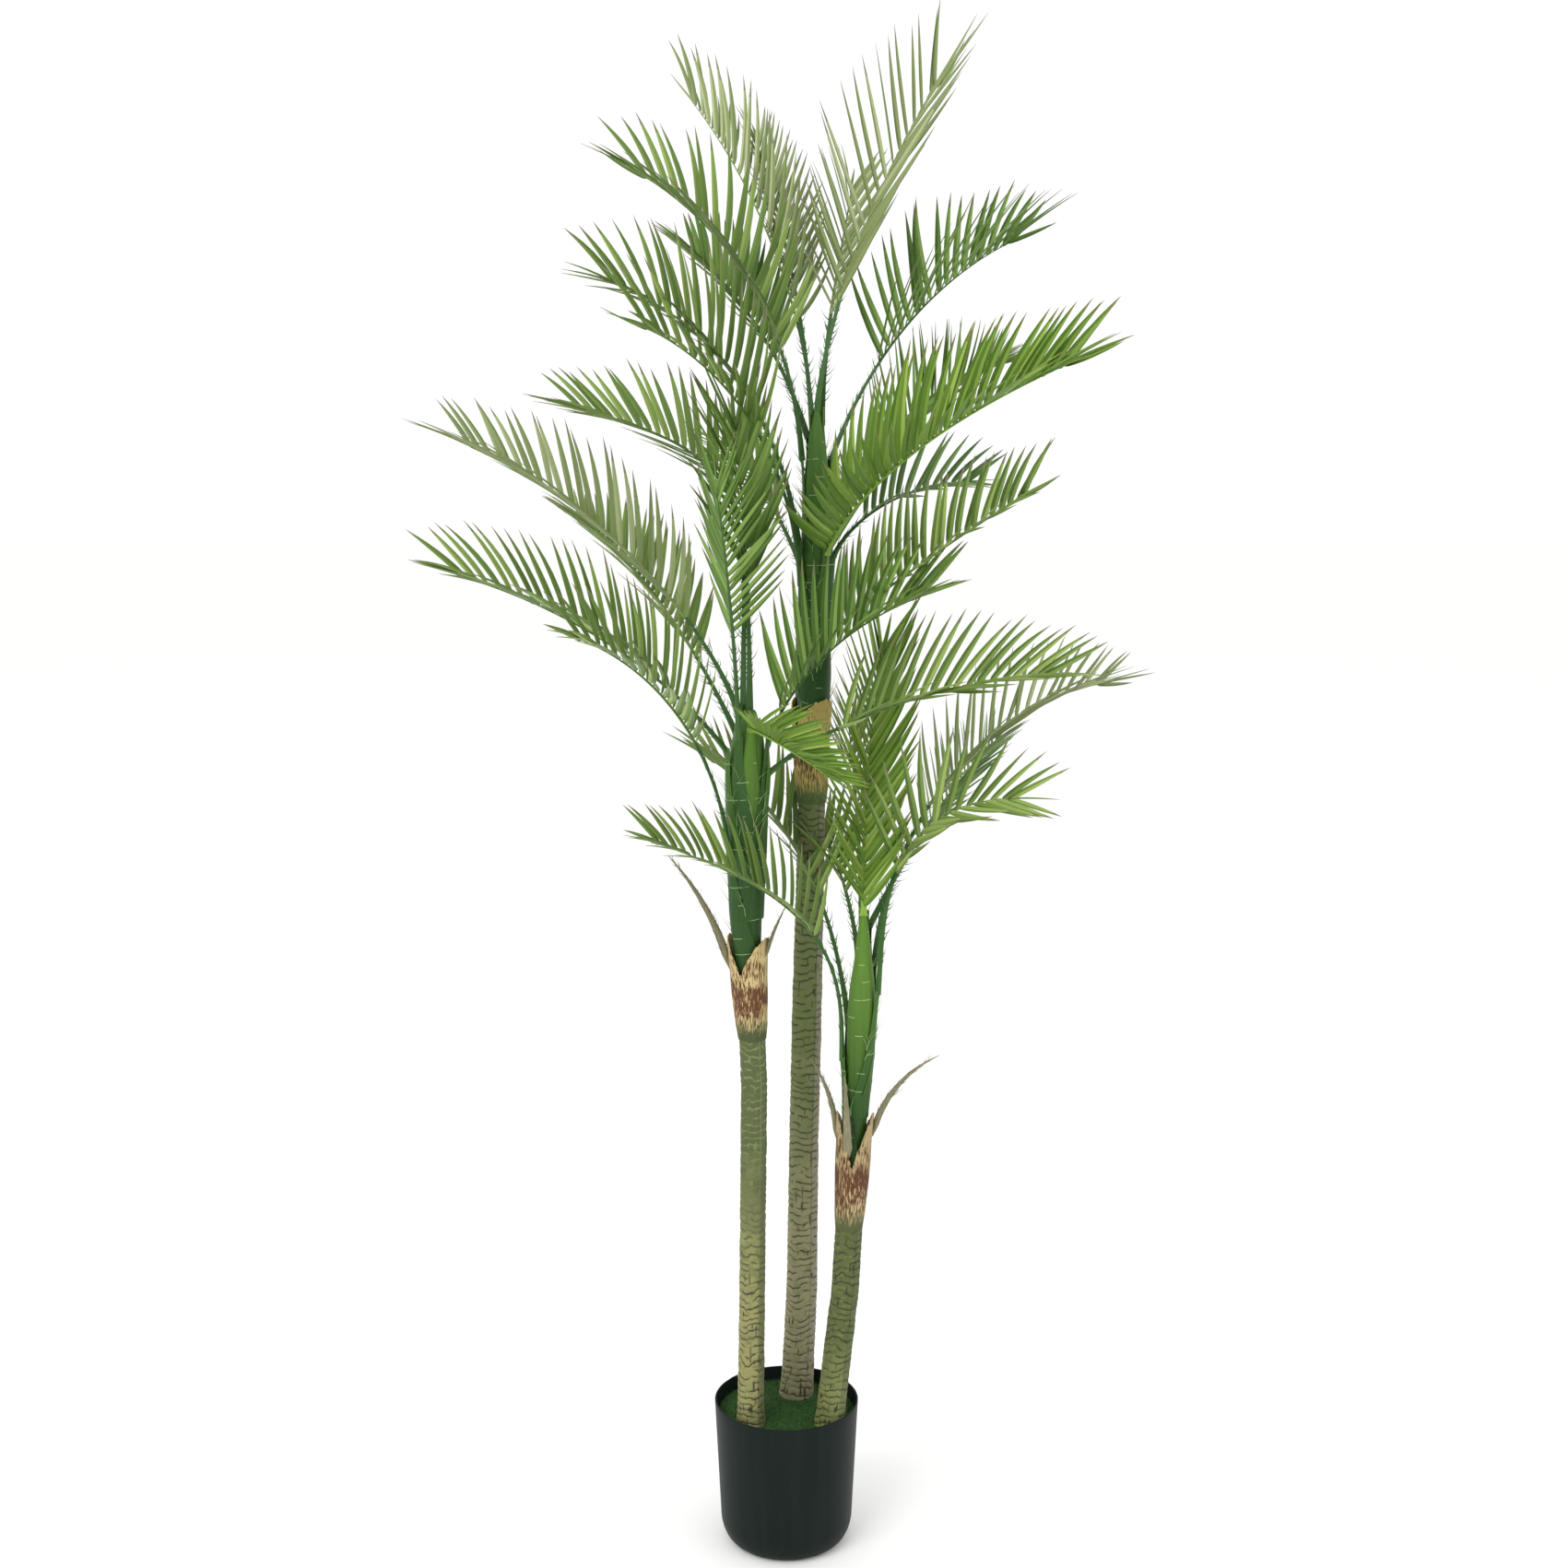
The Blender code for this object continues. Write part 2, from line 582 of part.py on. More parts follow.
def build_fronds(fixed):
    blades = [Blade(frond) for frond in FRONDS]
    meeting = clear_each_other(blades, fixed)
    for pair in sorted(meeting):
        print("these still meet:", *pair)
    for blade in blades:
        body = skin(blade.rings(), folded=True)
        finish(body, f"frond_{blade.frond.name}", blade.frond.tint, 0.5)


def main():
    for old in list(bpy.data.objects):
        bpy.data.objects.remove(old)
    build_pot()
    build_filling()
    build_mat()
    for name, stem in STEMS.items():
        build_trunk(name, stem)
        build_husk(name, stem)
        build_shaft(name, stem)
    for spike in SPIKES:
        build_spike(spike)
    bpy.context.view_layer.update()
    standing = [made for made in bpy.data.objects if not made.hide_render]
    build_fronds({made.name: solid_tree(made) for made in standing})


main()
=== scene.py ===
"""The looks of an artificial date palm: three moulded stems with their fronds in a plain pot.

Metres, +Z up. From the trunks on, sizes are in mm and turned to metres by MM. The sections
follow the plant as it is put together: pot, filling, mat, trunks, husks, crownshafts, sheaths,
stalks and ribs, leaflets, and the dry strips that are left on the husks.
"""

import random
from collections import namedtuple
from functools import lru_cache, partial
from math import cos, exp, hypot, pi, radians, sin

import bmesh
import bpy
import numpy as np
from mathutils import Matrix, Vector, noise


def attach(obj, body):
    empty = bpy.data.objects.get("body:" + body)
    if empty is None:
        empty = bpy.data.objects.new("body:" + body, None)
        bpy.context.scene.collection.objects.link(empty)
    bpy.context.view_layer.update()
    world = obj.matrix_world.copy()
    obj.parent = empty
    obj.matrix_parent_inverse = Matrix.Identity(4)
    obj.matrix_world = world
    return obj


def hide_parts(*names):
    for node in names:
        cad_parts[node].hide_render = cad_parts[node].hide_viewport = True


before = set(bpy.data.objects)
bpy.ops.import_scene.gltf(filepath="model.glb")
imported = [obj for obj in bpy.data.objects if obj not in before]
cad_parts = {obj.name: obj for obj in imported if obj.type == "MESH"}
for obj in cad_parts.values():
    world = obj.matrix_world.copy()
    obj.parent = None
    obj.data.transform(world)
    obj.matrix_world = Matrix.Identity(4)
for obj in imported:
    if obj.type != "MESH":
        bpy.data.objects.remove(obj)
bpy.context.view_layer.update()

MM = 0.001


# ---- Studio ----------------------------------------------------------------------------------
# A plain pale floor under a white dome, a large soft light from the upper left and a weaker one
# from the right. The camera looks slightly down from about two and a half metres away.


def linear(code):
    """An sRGB hex colour as the linear colour that shaders take."""
    parts = [int(code[k : k + 2], 16) / 255 for k in (1, 3, 5)]
    return (*[c / 12.92 if c <= 0.04045 else ((c + 0.055) / 1.055) ** 2.4 for c in parts], 1)


def add_node(tree, kind, inputs=None, give=0, into=None, **settings):
    """Adds a shader node, sets its properties, and gives its inputs a colour, a value or a link
    each. It returns the output that is asked for, and links it where it is wanted."""
    node = tree.nodes.new("ShaderNode" + kind)
    for name, value in settings.items():
        setattr(node, name, value)
    for name, value in (inputs or {}).items():
        if isinstance(value, bpy.types.NodeSocket):
            tree.links.new(value, node.inputs[name])
        else:
            node.inputs[name].default_value = linear(value) if isinstance(value, str) else value
    if into:
        tree.links.new(node.outputs[give], into)
    return node.outputs[give]


def start_material(name, colour, roughness, specular=0.5):
    """A material with one Principled shader. It comes with what adds nodes to it, the shader's
    inputs, and the Object coordinates that its patterns read."""
    material = bpy.data.materials.new(name)
    material.use_nodes = True
    shader = material.node_tree.nodes["Principled BSDF"].inputs
    shader["Base Color"].default_value = linear(colour)
    shader["Roughness"].default_value = roughness
    shader["Specular IOR Level"].default_value = specular
    add = partial(add_node, material.node_tree)
    return material, add, shader, add("TexCoord", give="Object")


def per(*sizes):
    """How often a pattern repeats in a metre, from its real size in mm, or along X, Y and Z."""
    repeats = [1 / (size * MM) for size in sizes]
    return repeats if len(repeats) > 1 else repeats[0]


scene = bpy.context.scene
scene.view_settings.view_transform = "Standard"

camera_data = bpy.data.cameras.new("camera")
camera_data.sensor_width = 36
camera_data.lens = 48.76
camera = bpy.data.objects.new("camera", camera_data)
camera.location = (-0.003, -2.427, 1.368)
camera.rotation_euler = (radians(80), 0, 0)
scene.collection.objects.link(camera)
scene.camera = camera

world = bpy.data.worlds.new("white studio")
world.use_nodes = True
scene.world = world
dome = world.node_tree.nodes["Background"]
dome.inputs["Color"].default_value = (1, 1, 1, 1)
dome.inputs["Strength"].default_value = 1.04


def soft_light(name, place, target, size, power):
    """A square area light that faces the target."""
    light = bpy.data.lights.new(name, "AREA")
    light.size = size
    light.energy = power
    made = bpy.data.objects.new(name, light)
    made.location = place
    made.rotation_euler = (Vector(target) - Vector(place)).to_track_quat("-Z", "Y").to_euler()
    scene.collection.objects.link(made)


soft_light("key light", (-1.9, -2.6, 3.3), (0, 0, 1.0), 2.2, 70)
soft_light("fill light", (2.6, -1.6, 1.8), (0, 0, 0.9), 1.8, 12)

FLOOR_HALF = 20
FLOOR_GAP = 0.0005  # keeps the floor just clear of the pot's underside
floor_mesh = bmesh.new()
bmesh.ops.create_grid(floor_mesh, x_segments=1, y_segments=1, size=FLOOR_HALF)
bmesh.ops.translate(floor_mesh, verts=floor_mesh.verts, vec=(0, 0, -FLOOR_GAP))
floor_data = bpy.data.meshes.new("floor")
floor_mesh.to_mesh(floor_data)
floor_mesh.free()
# Matt studio paper: no pattern and no gloss, so it stays quiet behind the plant.
paper, *_ = start_material("matt studio paper", "#fbfbf9", 0.9)
floor_data.materials.append(paper)
floor = bpy.data.objects.new("floor", floor_data)
scene.collection.objects.link(floor)


# ---- Pot -------------------------------------------------------------------------------------
# The plain round pot is injection-moulded black polypropylene with a thin rim and a rounded
# foot. Its profile is turned about Z, and the rim has the small nicks of a used mould.

POT_HEIGHT = 0.179
POT_RIM_RADIUS = 0.0875
POT_SIDE_RADIUS = 0.0805
POT_FOOT_RADIUS = 0.062
POT_FOOT_RISE = 0.034
POT_WALL = 0.0022
POT_FLOOR = 0.005
RECESS_DEPTH = 0.0012  # the underside stands on a ring round a shallow recess
RECESS_RADIUS = 0.052
RING_RADIUS = 0.0545
NICK_DEPTH = 0.0006
NICK_FROM = 0.25  # the noise has to rise over this for a nick
NICKS_PER_METRE = 90


def pot_radius(height):
    """Outside radius: a quarter ellipse at the foot, then a straight side."""
    if height < POT_FOOT_RISE:
        lift = 1 - height / POT_FOOT_RISE
        return POT_FOOT_RADIUS + (POT_SIDE_RADIUS - POT_FOOT_RADIUS) * (1 - lift**2) ** 0.5
    share = (height - POT_FOOT_RISE) / (POT_HEIGHT - POT_FOOT_RISE)
    return POT_SIDE_RADIUS + (POT_RIM_RADIUS - POT_SIDE_RADIUS) * share


def show(name, mesh, materials, sharp):
    """Puts a mesh in the scene, smooth but for its sharp edges, and lets it ride on the plant."""
    for material in materials:
        mesh.materials.append(material)
    mesh.shade_smooth()
    mesh.set_sharp_from_angle(angle=radians(sharp))
    made = bpy.data.objects.new(name, mesh)
    scene.collection.objects.link(made)
    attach(made, "root")
    return made


def drawn_out(add, spot, sizes, detail):
    """A pattern of fibres or streaks, of these real sizes in mm along X, Y and Z."""
    stretched = add("Mapping", {"Vector": spot, "Scale": per(*sizes)})
    return add("TexNoise", {"Vector": stretched, "Scale": 1.0, "Detail": detail})


def finish(body, name, materials, sharp=35):
    """Turns a filled bmesh into a piece at the origin, with its faces outwards."""
    bmesh.ops.recalc_face_normals(body, faces=body.faces)
    mesh = bpy.data.meshes.new(name)
    body.to_mesh(mesh)
    body.free()
    return show(name, mesh, materials, sharp)


def turned(profile, steps):
    """A closed shell: a profile of radii and heights, spun about Z."""
    body = bmesh.new()
    corners = [body.verts.new((radius, 0, height)) for radius, height in profile]
    edges = [body.edges.new(pair) for pair in zip(corners, corners[1:])]
    bmesh.ops.spin(
        body,
        geom=corners + edges,
        cent=(0, 0, 0),
        axis=(0, 0, 1),
        angle=2 * pi,
        steps=steps,
        use_merge=True,
    )
    bmesh.ops.remove_doubles(body, verts=body.verts, dist=1e-6)
    return body


foot_steps = [POT_FOOT_RISE * (1 - cos(pi / 2 * k / 12)) for k in range(13)]
side_steps = np.linspace(POT_FOOT_RISE, POT_HEIGHT - POT_WALL / 2, 12)[1:]
outside = [(pot_radius(z), z) for z in [*foot_steps, *side_steps]]
rim_middle = POT_RIM_RADIUS - POT_WALL / 2
rim_turns = [pi * k / 6 for k in range(1, 6)]
rim = [
    (rim_middle + POT_WALL / 2 * cos(a), POT_HEIGHT - POT_WALL / 2 * (1 - sin(a))) for a in rim_turns
]
inside = [(pot_radius(z) - POT_WALL, z) for z in reversed([z for z in foot_steps if z > POT_FLOOR])]
underside = [(0, RECESS_DEPTH), (RECESS_RADIUS, RECESS_DEPTH), (RING_RADIUS, 0)]
wall_top = (rim_middle - POT_WALL / 2, POT_HEIGHT - POT_WALL / 2)
floor_edge = (pot_radius(POT_FLOOR) - POT_WALL, POT_FLOOR)
pot = turned([*underside, *outside, *rim, wall_top, *inside, floor_edge, (0, POT_FLOOR)], 180)
for vert in pot.verts:
    if vert.co.z > POT_HEIGHT - POT_WALL:
        nick = max(noise.noise(vert.co * NICKS_PER_METRE) - NICK_FROM, 0) / (1 - NICK_FROM)
        vert.co.z -= NICK_DEPTH * nick

# Black polypropylene, moulded against a fine spark-eroded grain: satin, with a faint upright
# drag from the mould that shows as slightly lighter streaks.
plastic, add, shader, spot = start_material("moulded black polypropylene", "#111917", 0.45, specular=0.1)
drag = drawn_out(add, spot, (11.1, 11.1, 250), 3.0)
add("Mix", {0: drag, 6: "#0b1311", 7: "#18221f"}, give=2, data_type="RGBA", into=shader["Base Color"])
add("MapRange", {"Value": drag, "To Min": 0.4, "To Max": 0.54}, into=shader["Roughness"])
GRAIN_SIZE = 0.8
grain = add("TexNoise", {"Vector": spot, "Scale": per(GRAIN_SIZE), "Detail": 2.0})
add("Bump", {"Height": grain, "Strength": 0.12, "Distance": 0.2 * MM}, into=shader["Normal"])

pot_shell = finish(pot, "pot_shell", [plastic])
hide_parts("pot")


# ---- Filling ---------------------------------------------------------------------------------
# Cement mortar is cast into the pot round the feet of the stems, to weigh it down. Its shape is
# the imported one, so that object stays and only gets its finish.

# Trowelled cement mortar: matt light grey, with sand grains of about a millimetre.
mortar, add, shader, spot = start_material("trowelled cement mortar", "#a19d92", 0.92)
SAND_SIZE = 1.2
sand = add("TexNoise", {"Vector": spot, "Scale": per(SAND_SIZE), "Detail": 4.0})
add("Mix", {0: sand, 6: "#86827a", 7: "#b6b2a8"}, give=2, data_type="RGBA", into=shader["Base Color"])
add("Bump", {"Height": sand, "Strength": 0.5, "Distance": 0.6 * MM}, into=shader["Normal"])
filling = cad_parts["pot_filling"]
filling.data.materials.clear()
filling.data.materials.append(mortar)


# ---- Green mat -------------------------------------------------------------------------------
# A disc of dark green flocked moss covers the filling. It is a thin backing with a short dense
# pile.

FILLING_TOP = 0.159
BACKING = 0.0028
PILE_HEIGHT = 0.0035
PILE_COUNT = 9000
PILE_HALF_WIDTH = 0.00035
PILE_LEAN = 0.35
MAT_CLEARANCE = 0.0008  # to the pot's wall
MAT_LIFT = 0.0003  # over the filling
MAT_BEVEL = 0.002
CLUMP_SIZE = 6.25  # mm


def grid_patch(body, columns, rows, place):
    """Adds a grid to the bmesh, each corner put where place(across, share) says, both 0 to 1.
    It returns the new corners."""
    made = bmesh.ops.create_grid(body, x_segments=columns, y_segments=rows, size=0.5)["verts"]
    for vert in made:
        vert.co = place(vert.co.x + 0.5, vert.co.y + 0.5)
    return made


def tube(body, sides, rows, place):
    """Adds a closed tube: a grid wrapped round, sewn along its seam and capped at both ends."""
    made = grid_patch(body, sides, rows, lambda across, share: place(2 * pi * across, share))
    bmesh.ops.remove_doubles(body, verts=made, dist=1e-7)
    made = [vert for vert in made if vert.is_valid]
    open_edges = {edge for vert in made for edge in vert.link_edges if edge.is_boundary}
    bmesh.ops.holes_fill(body, edges=list(open_edges), sides=0)
    return made


def read_template(body):
    """Corners, faces and face materials of a small closed shape, ready to be copied."""
    bmesh.ops.recalc_face_normals(body, faces=body.faces)
    body.verts.index_update()
    corners = np.array([vert.co[:] for vert in body.verts])
    faces = [tuple(vert.index for vert in face.verts) for face in body.faces]
    parts = np.array([face.material_index for face in body.faces])
    body.free()
    return corners, faces, parts


def join_copies(name, template, copies, materials, sharp=35):
    """One object from placed copies of a template. Each copy is its corners and its face materials."""
    corners, faces, _ = template
    places = np.concatenate([points for points, _ in copies])
    wears = np.concatenate([parts for _, parts in copies])
    count = len(corners)
    loops = [tuple(c + k * count for c in face) for k in range(len(copies)) for face in faces]
    mesh = bpy.data.meshes.new(name)
    mesh.from_pydata(places, [], loops)
    mesh.polygons.foreach_set("material_index", wears.astype(np.int32))
    return show(name, mesh, materials, sharp)


def hair_template(half_width, length, bend, sides=3, rows=3):
    """A tapered hair that stands up along +Z and bends towards +X."""
    body = bmesh.new()

    def place(turn, share):
        thick = half_width * (1 - 0.94 * share)
        return Vector((thick * cos(turn) + bend * share**2, thick * sin(turn), length * share))

    tube(body, sides, rows, place)
    return read_template(body)


def grow(copies, hair, start, up, toward, shade=0, long=1.0):
    """Adds a hair to the copies, with its foot at start, its +Z along up and its +X leaning toward."""
    corners = hair[0]
    up = Vector(up).normalized()
    toward = Vector(toward)
    lean = (toward - up * toward.dot(up)).normalized()
    across = np.outer(corners[:, 0], lean) + np.outer(corners[:, 1], up.cross(lean))
    points = np.array(start) + across + np.outer(corners[:, 2] * long, up)
    copies.append((points, np.full(len(hair[1]), shade)))


mat_radius = pot_radius(FILLING_TOP) - POT_WALL - MAT_CLEARANCE
mat_edge = [(mat_radius, 0), (mat_radius, BACKING * 0.7), (mat_radius - MAT_BEVEL, BACKING)]
mat_profile = [(0, 0), *mat_edge, (0, BACKING)]
backing = turned([(radius, FILLING_TOP + MAT_LIFT + lift) for radius, lift in mat_profile], 96)

# Flocked polyester moss: dead matt, deep green, and paler only where the pile catches light.
moss, add, shader, spot = start_material("flocked moss backing", "#244515", 0.95)
clumps = add("TexNoise", {"Vector": spot, "Scale": per(CLUMP_SIZE), "Detail": 5.0})
add("Mix", {0: clumps, 6: "#18340e", 7: "#2f581b"}, give=2, data_type="RGBA", into=shader["Base Color"])
mat_backing = finish(backing, "moss_backing", [moss])
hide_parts("green_mat")

draw = random.Random(11)
blade = hair_template(PILE_HALF_WIDTH, PILE_HEIGHT, PILE_HEIGHT * 0.4, rows=2)
piles = []
for _ in range(PILE_COUNT):
    away = mat_radius * draw.random() ** 0.5
    turn = draw.uniform(0, 2 * pi)
    start = (away * cos(turn), away * sin(turn), FILLING_TOP + BACKING)
    up = (draw.gauss(0, PILE_LEAN), draw.gauss(0, PILE_LEAN), 1)
    toward = (draw.gauss(0, 1), draw.gauss(0, 1), 0.001)
    shade = draw.choice((0, 0, 1, 1, 2))
    grow(piles, blade, start, up, toward, shade, long=draw.uniform(0.5, 1.1))
PILE_COLOURS = ("#1e4011", "#2d5719", "#427026")
greens = [start_material(f"flocked moss pile {k}", PILE_COLOURS[k], 0.9)[0] for k in range(3)]
pile = join_copies("moss_pile", blade, piles, greens)
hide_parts("green_mat")


# ---- Trunks ----------------------------------------------------------------------------------
# Each trunk is a hollow polyethylene moulding over a rod, cast from real palm stems, with worn
# leaf scars across it and a straight seam down its side where the mould halves met. A fine grid
# is wrapped round it and pressed in along the scars.

# The rings of a stem's parts: height, sideways place of the axis and radius. The husk has flaps
# that rise above a notch in front and behind, and is turned by so many degrees.
Stem = namedtuple("Stem", "depth trunk husk shaft notch flap turned")
STEMS = {
    "left": Stem(
        depth=-35,
        trunk=[(160, -43, 18), (185, -43, 16), (330, -41, 15.5), (585, -38, 15.5), (646, -40, 15.5)],
        husk=[(646.3, -40, 16.5), (685, -42, 19), (722, -44, 20.5), (775, -45, 22)],
        shaft=[
            (716, -44, 14.5), (790, -46, 18.5), (870, -46.5, 22.5),
            (960, -46, 22.5), (1000, -44, 19.5), (1030, -42, 10),
        ],
        notch=722,
        flap=46,
        turned=-115,
    ),
    "middle": Stem(
        depth=46,
        trunk=[(160, 12, 22), (190, 14, 20), (300, 19, 19), (475, 21, 18), (673, 25, 18), (912, 30, 16)],
        husk=[(912.3, 30, 17.5), (950, 29, 19), (1000, 29, 21), (1040, 30, 22)],
        shaft=[
            (994, 29, 18), (1080, 31, 19), (1200, 35, 19),
            (1290, 35, 15), (1340, 35, 10), (1365, 35, 5),
        ],
        notch=1000,
        flap=35,
        turned=-140,
    ),
    "right": Stem(
        depth=-35,
        trunk=[(160, 52, 19.5), (185, 54, 17.5), (285, 64.5, 17), (332, 70, 16.5), (412, 74, 16.5)],
        husk=[(412.3, 74, 17.5), (450, 76, 19), (488, 78, 21), (560, 81, 21)],
        shaft=[
            (482, 78, 13), (560, 82, 15), (618, 85, 17), (670, 87, 17.5),
            (705, 88, 16), (740, 89, 11.5), (770, 89, 8.5), (790, 89, 6),
        ],
        notch=488,
        flap=66,
        turned=-95,
    ),
}
CORNER_BLEND = 8  # height over which the corners between rings are rounded off


@lru_cache(maxsize=None)
def stem_at(name, part, height):
    """Sideways place of a stem's axis and its radius at a height, all in mm."""
    heights, places, radii = zip(*getattr(STEMS[name], part))
    near = (height - CORNER_BLEND, height, height + CORNER_BLEND)
    return [float(sum(np.interp(near, heights, row))) / 3 for row in (places, radii)]


def on_stem(name, part, turn, height, proud=0.0):
    """A point on a stem's side, in metres, standing proud of it by so many mm."""
    x, radius = stem_at(name, part, round(height, 2))
    away = radius + proud
    return Vector((x + away * cos(turn), STEMS[name].depth + away * sin(turn), height)) * MM


SCAR_STEP = 9  # from one leaf scar to the next
SCAR_HALF_WIDTH = 1.2
SCAR_DEPTH = 0.9
SWELL = 0.5  # by which the bark swells between two scars
SEAM_TURN = radians(-57)
SEAM_HALF_WIDTH = 0.8
SEAM_HEIGHT = 0.35
SEAM_FAINT = 0.5  # how much of a scar's colour the seam has
GREY_BAND = 1.6  # how far the greyer side reaches past the seam, in radians
CRACKED_BELOW = 235  # height below which upright cracks grow common
CRACKED_OVER = 60
LUMPS = 0.7
FINE_LUMPS = 0.22
BARK_ROW = 1.0  # between the grid's rows
BARK_SIDES = 100
SEEDS = {"left": 0.0, "middle": 31.0, "right": 67.0}
CLOUD_SIZE = 22.2
STAIN_SIZE = (9.09, 9.09, 3.85)
FRECKLE_SIZE = 1.11
PATCHINESS = 0.34
BAND_STRENGTH = 0.7


def bark(name, turn, height):
    """Relief in mm, and the strength of the scar and of the seam there, 0 to 1."""
    seed = SEEDS[name]
    round_it = Vector((cos(turn), sin(turn), 0))
    drift = noise.noise(round_it * 0.9 + Vector((seed, 0, height / 38)))
    wave = noise.noise(round_it * 3.1 + Vector((0, seed, height / 16)))
    phase = height / SCAR_STEP + 0.9 * drift + 0.27 * wave
    off_line = abs(phase % 1 - 0.5) * SCAR_STEP
    line = max(0.0, 1 - off_line / SCAR_HALF_WIDTH)
    broken = noise.noise(round_it * 1.6 + Vector((9, seed, height / 6)))
    scar = min(1.8 * line, 1) * min(max(0.95 + 2.4 * broken, 0), 1)
    foot = min(max((CRACKED_BELOW - height) / CRACKED_OVER, 0), 1)
    upright = noise.noise(Vector((turn * 7, seed, height / 15)))
    crack = min(max(upright * 5 - 2.1 + 0.9 * foot, 0), 1)
    past = (turn - SEAM_TURN + pi) % (2 * pi) - pi
    radius = stem_at(name, "trunk", round(height, 2))[1]
    seam = exp(-((past * radius / SEAM_HALF_WIDTH) ** 2))
    other = exp(-(((abs(past) - pi) * radius / SEAM_HALF_WIDTH) ** 2))
    lumps = noise.noise(round_it * 1.1 + Vector((seed, 3, height / 21)))
    fine = noise.noise(round_it * 9 + Vector((seed, 5, height / 2.6)))
    relief = SWELL * (abs(phase % 1 - 0.5) * 2) ** 0.5 + LUMPS * lumps + FINE_LUMPS * fine
    relief -= SCAR_DEPTH * max(scar, 0.8 * crack) + SWELL
    relief += SEAM_HEIGHT * (seam + other)
    return relief, max(scar, crack), seam + other


def bark_material(name, low, high, grey, blotch, scar_low, scar_high, foot, top):
    """Moulded polyethylene bark, painted and wiped so that colour stays in the scars: matt,
    greener towards the crown, greyer past the seam, with small freckles all over."""
    made, add, shader, spot = start_material(f"wiped bark, {name}", low, 0.78)
    height = add("SeparateXYZ", {0: spot}, give=2)
    cloud = add("TexNoise", {"Vector": spot, "Scale": per(CLOUD_SIZE), "Detail": 4.0})
    between = {"Value": height, "From Min": foot * MM, "From Max": top * MM}
    rise = add("MapRange", between, interpolation_type="SMOOTHSTEP")
    patchy = add("MapRange", {"Value": cloud, "From Min": 0.35, "From Max": 0.65})
    uneven = add("Math", {0: patchy, 1: PATCHINESS, 2: rise}, operation="MULTIPLY_ADD", use_clamp=True)
    shift = add("Math", {0: uneven, 1: PATCHINESS / 2}, operation="SUBTRACT", use_clamp=True)
    tone = add("Mix", {0: shift, 6: low, 7: high}, give=2, data_type="RGBA")
    stain = drawn_out(add, spot, STAIN_SIZE, 5.0)
    stained = add("MapRange", {"Value": stain, "From Min": 0.5, "From Max": 0.72, "To Max": 0.75})
    tone = add("Mix", {0: stained, 6: tone, 7: blotch}, give=2, data_type="RGBA")
    band = add("Attribute", give="Fac", attribute_name="band")
    banded = add("Math", {0: band, 1: BAND_STRENGTH}, operation="MULTIPLY")
    tone = add("Mix", {0: banded, 6: tone, 7: grey}, give=2, data_type="RGBA")
    dark = add("Mix", {0: rise, 6: scar_low, 7: scar_high}, give=2, data_type="RGBA")
    scar = add("Attribute", give="Fac", attribute_name="scar")
    skin = {0: scar, 6: tone, 7: dark}
    add("Mix", skin, give=2, into=shader["Base Color"], data_type="RGBA")
    freckles = add("TexNoise", {"Vector": spot, "Scale": per(FRECKLE_SIZE), "Detail": 3.0})
    dents = {"Height": freckles, "Strength": 0.35, "Distance": 0.4 * MM}
    add("Bump", dents, into=shader["Normal"])
    return made


# Colours: body low and high, past the seam, stains, scars low and high. Heights: where the body
# and the scars start to change colour, and where they have changed.
BARKS = {
    "left": ("#868553", "#35451e", "#505735", "#576035", "#332d16", "#7a8756", 300, 590),
    "middle": ("#868261", "#51632a", "#7c7663", "#63673e", "#38321d", "#2b3018", 250, 760),
    "right": ("#717641", "#434e24", "#535d36", "#667236", "#2e3216", "#2a3418", 160, 330),
}
for name, stem in STEMS.items():
    foot = FILLING_TOP / MM + 0.3
    top = stem.trunk[-1][0]
    body = bmesh.new()
    scar_layer = body.verts.layers.float.new("scar")
    band_layer = body.verts.layers.float.new("band")
    marks = {}

    def place(turn, share):
        height = foot + (top - foot) * share
        relief, scar, seam = bark(name, turn, height)
        point = on_stem(name, "trunk", turn, height, relief)
        past = (turn - SEAM_TURN + pi) % (2 * pi) - pi
        band = min(max(past * 8, 0), 1) * min(max((GREY_BAND - past) * 2, 0), 1)
        marks[tuple(round(c, 7) for c in point)] = (max(scar, SEAM_FAINT * seam), band)
        return point

    for vert in tube(body, BARK_SIDES, round((top - foot) / BARK_ROW), place):
        key = tuple(round(c, 7) for c in vert.co)
        vert[scar_layer], vert[band_layer] = marks.get(key, (0.0, 0.0))
    trunk = finish(body, f"bark_{name}", [bark_material(name, *BARKS[name])], sharp=60)
    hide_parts(f"trunk_{name}")


# ---- Husks -----------------------------------------------------------------------------------
# A husk is the dry base of a fallen frond: a thin cup of vacuum-formed sheet round the top of
# the trunk, torn open in front and behind, printed cream with brown fibres that run upwards.

HUSK_WALL = 1.3
HUSK_SIDES = 96
HUSK_ROWS = 46
TEAR = 4.0  # unevenness along the torn rim
FOOT_LAP = 1.5  # by which the foot reaches below the top of the bark
FOOT_TUCK = 1.6  # by which the foot is drawn in under the bark
TUCK_TO = 0.15  # share of the height up to which it is drawn in
LIP = 1.2  # by which the rim stands out
LIP_FROM = 0.75
SHAFT_CLEARANCE = 2.2
FIBRE_SIZE = (1.0, 1.0, 12)
PATCH_SIZE = 18.2
BELT_AT = 0.42  # share of the height where most of the brown lies
OLIVE_HEIGHT = 36


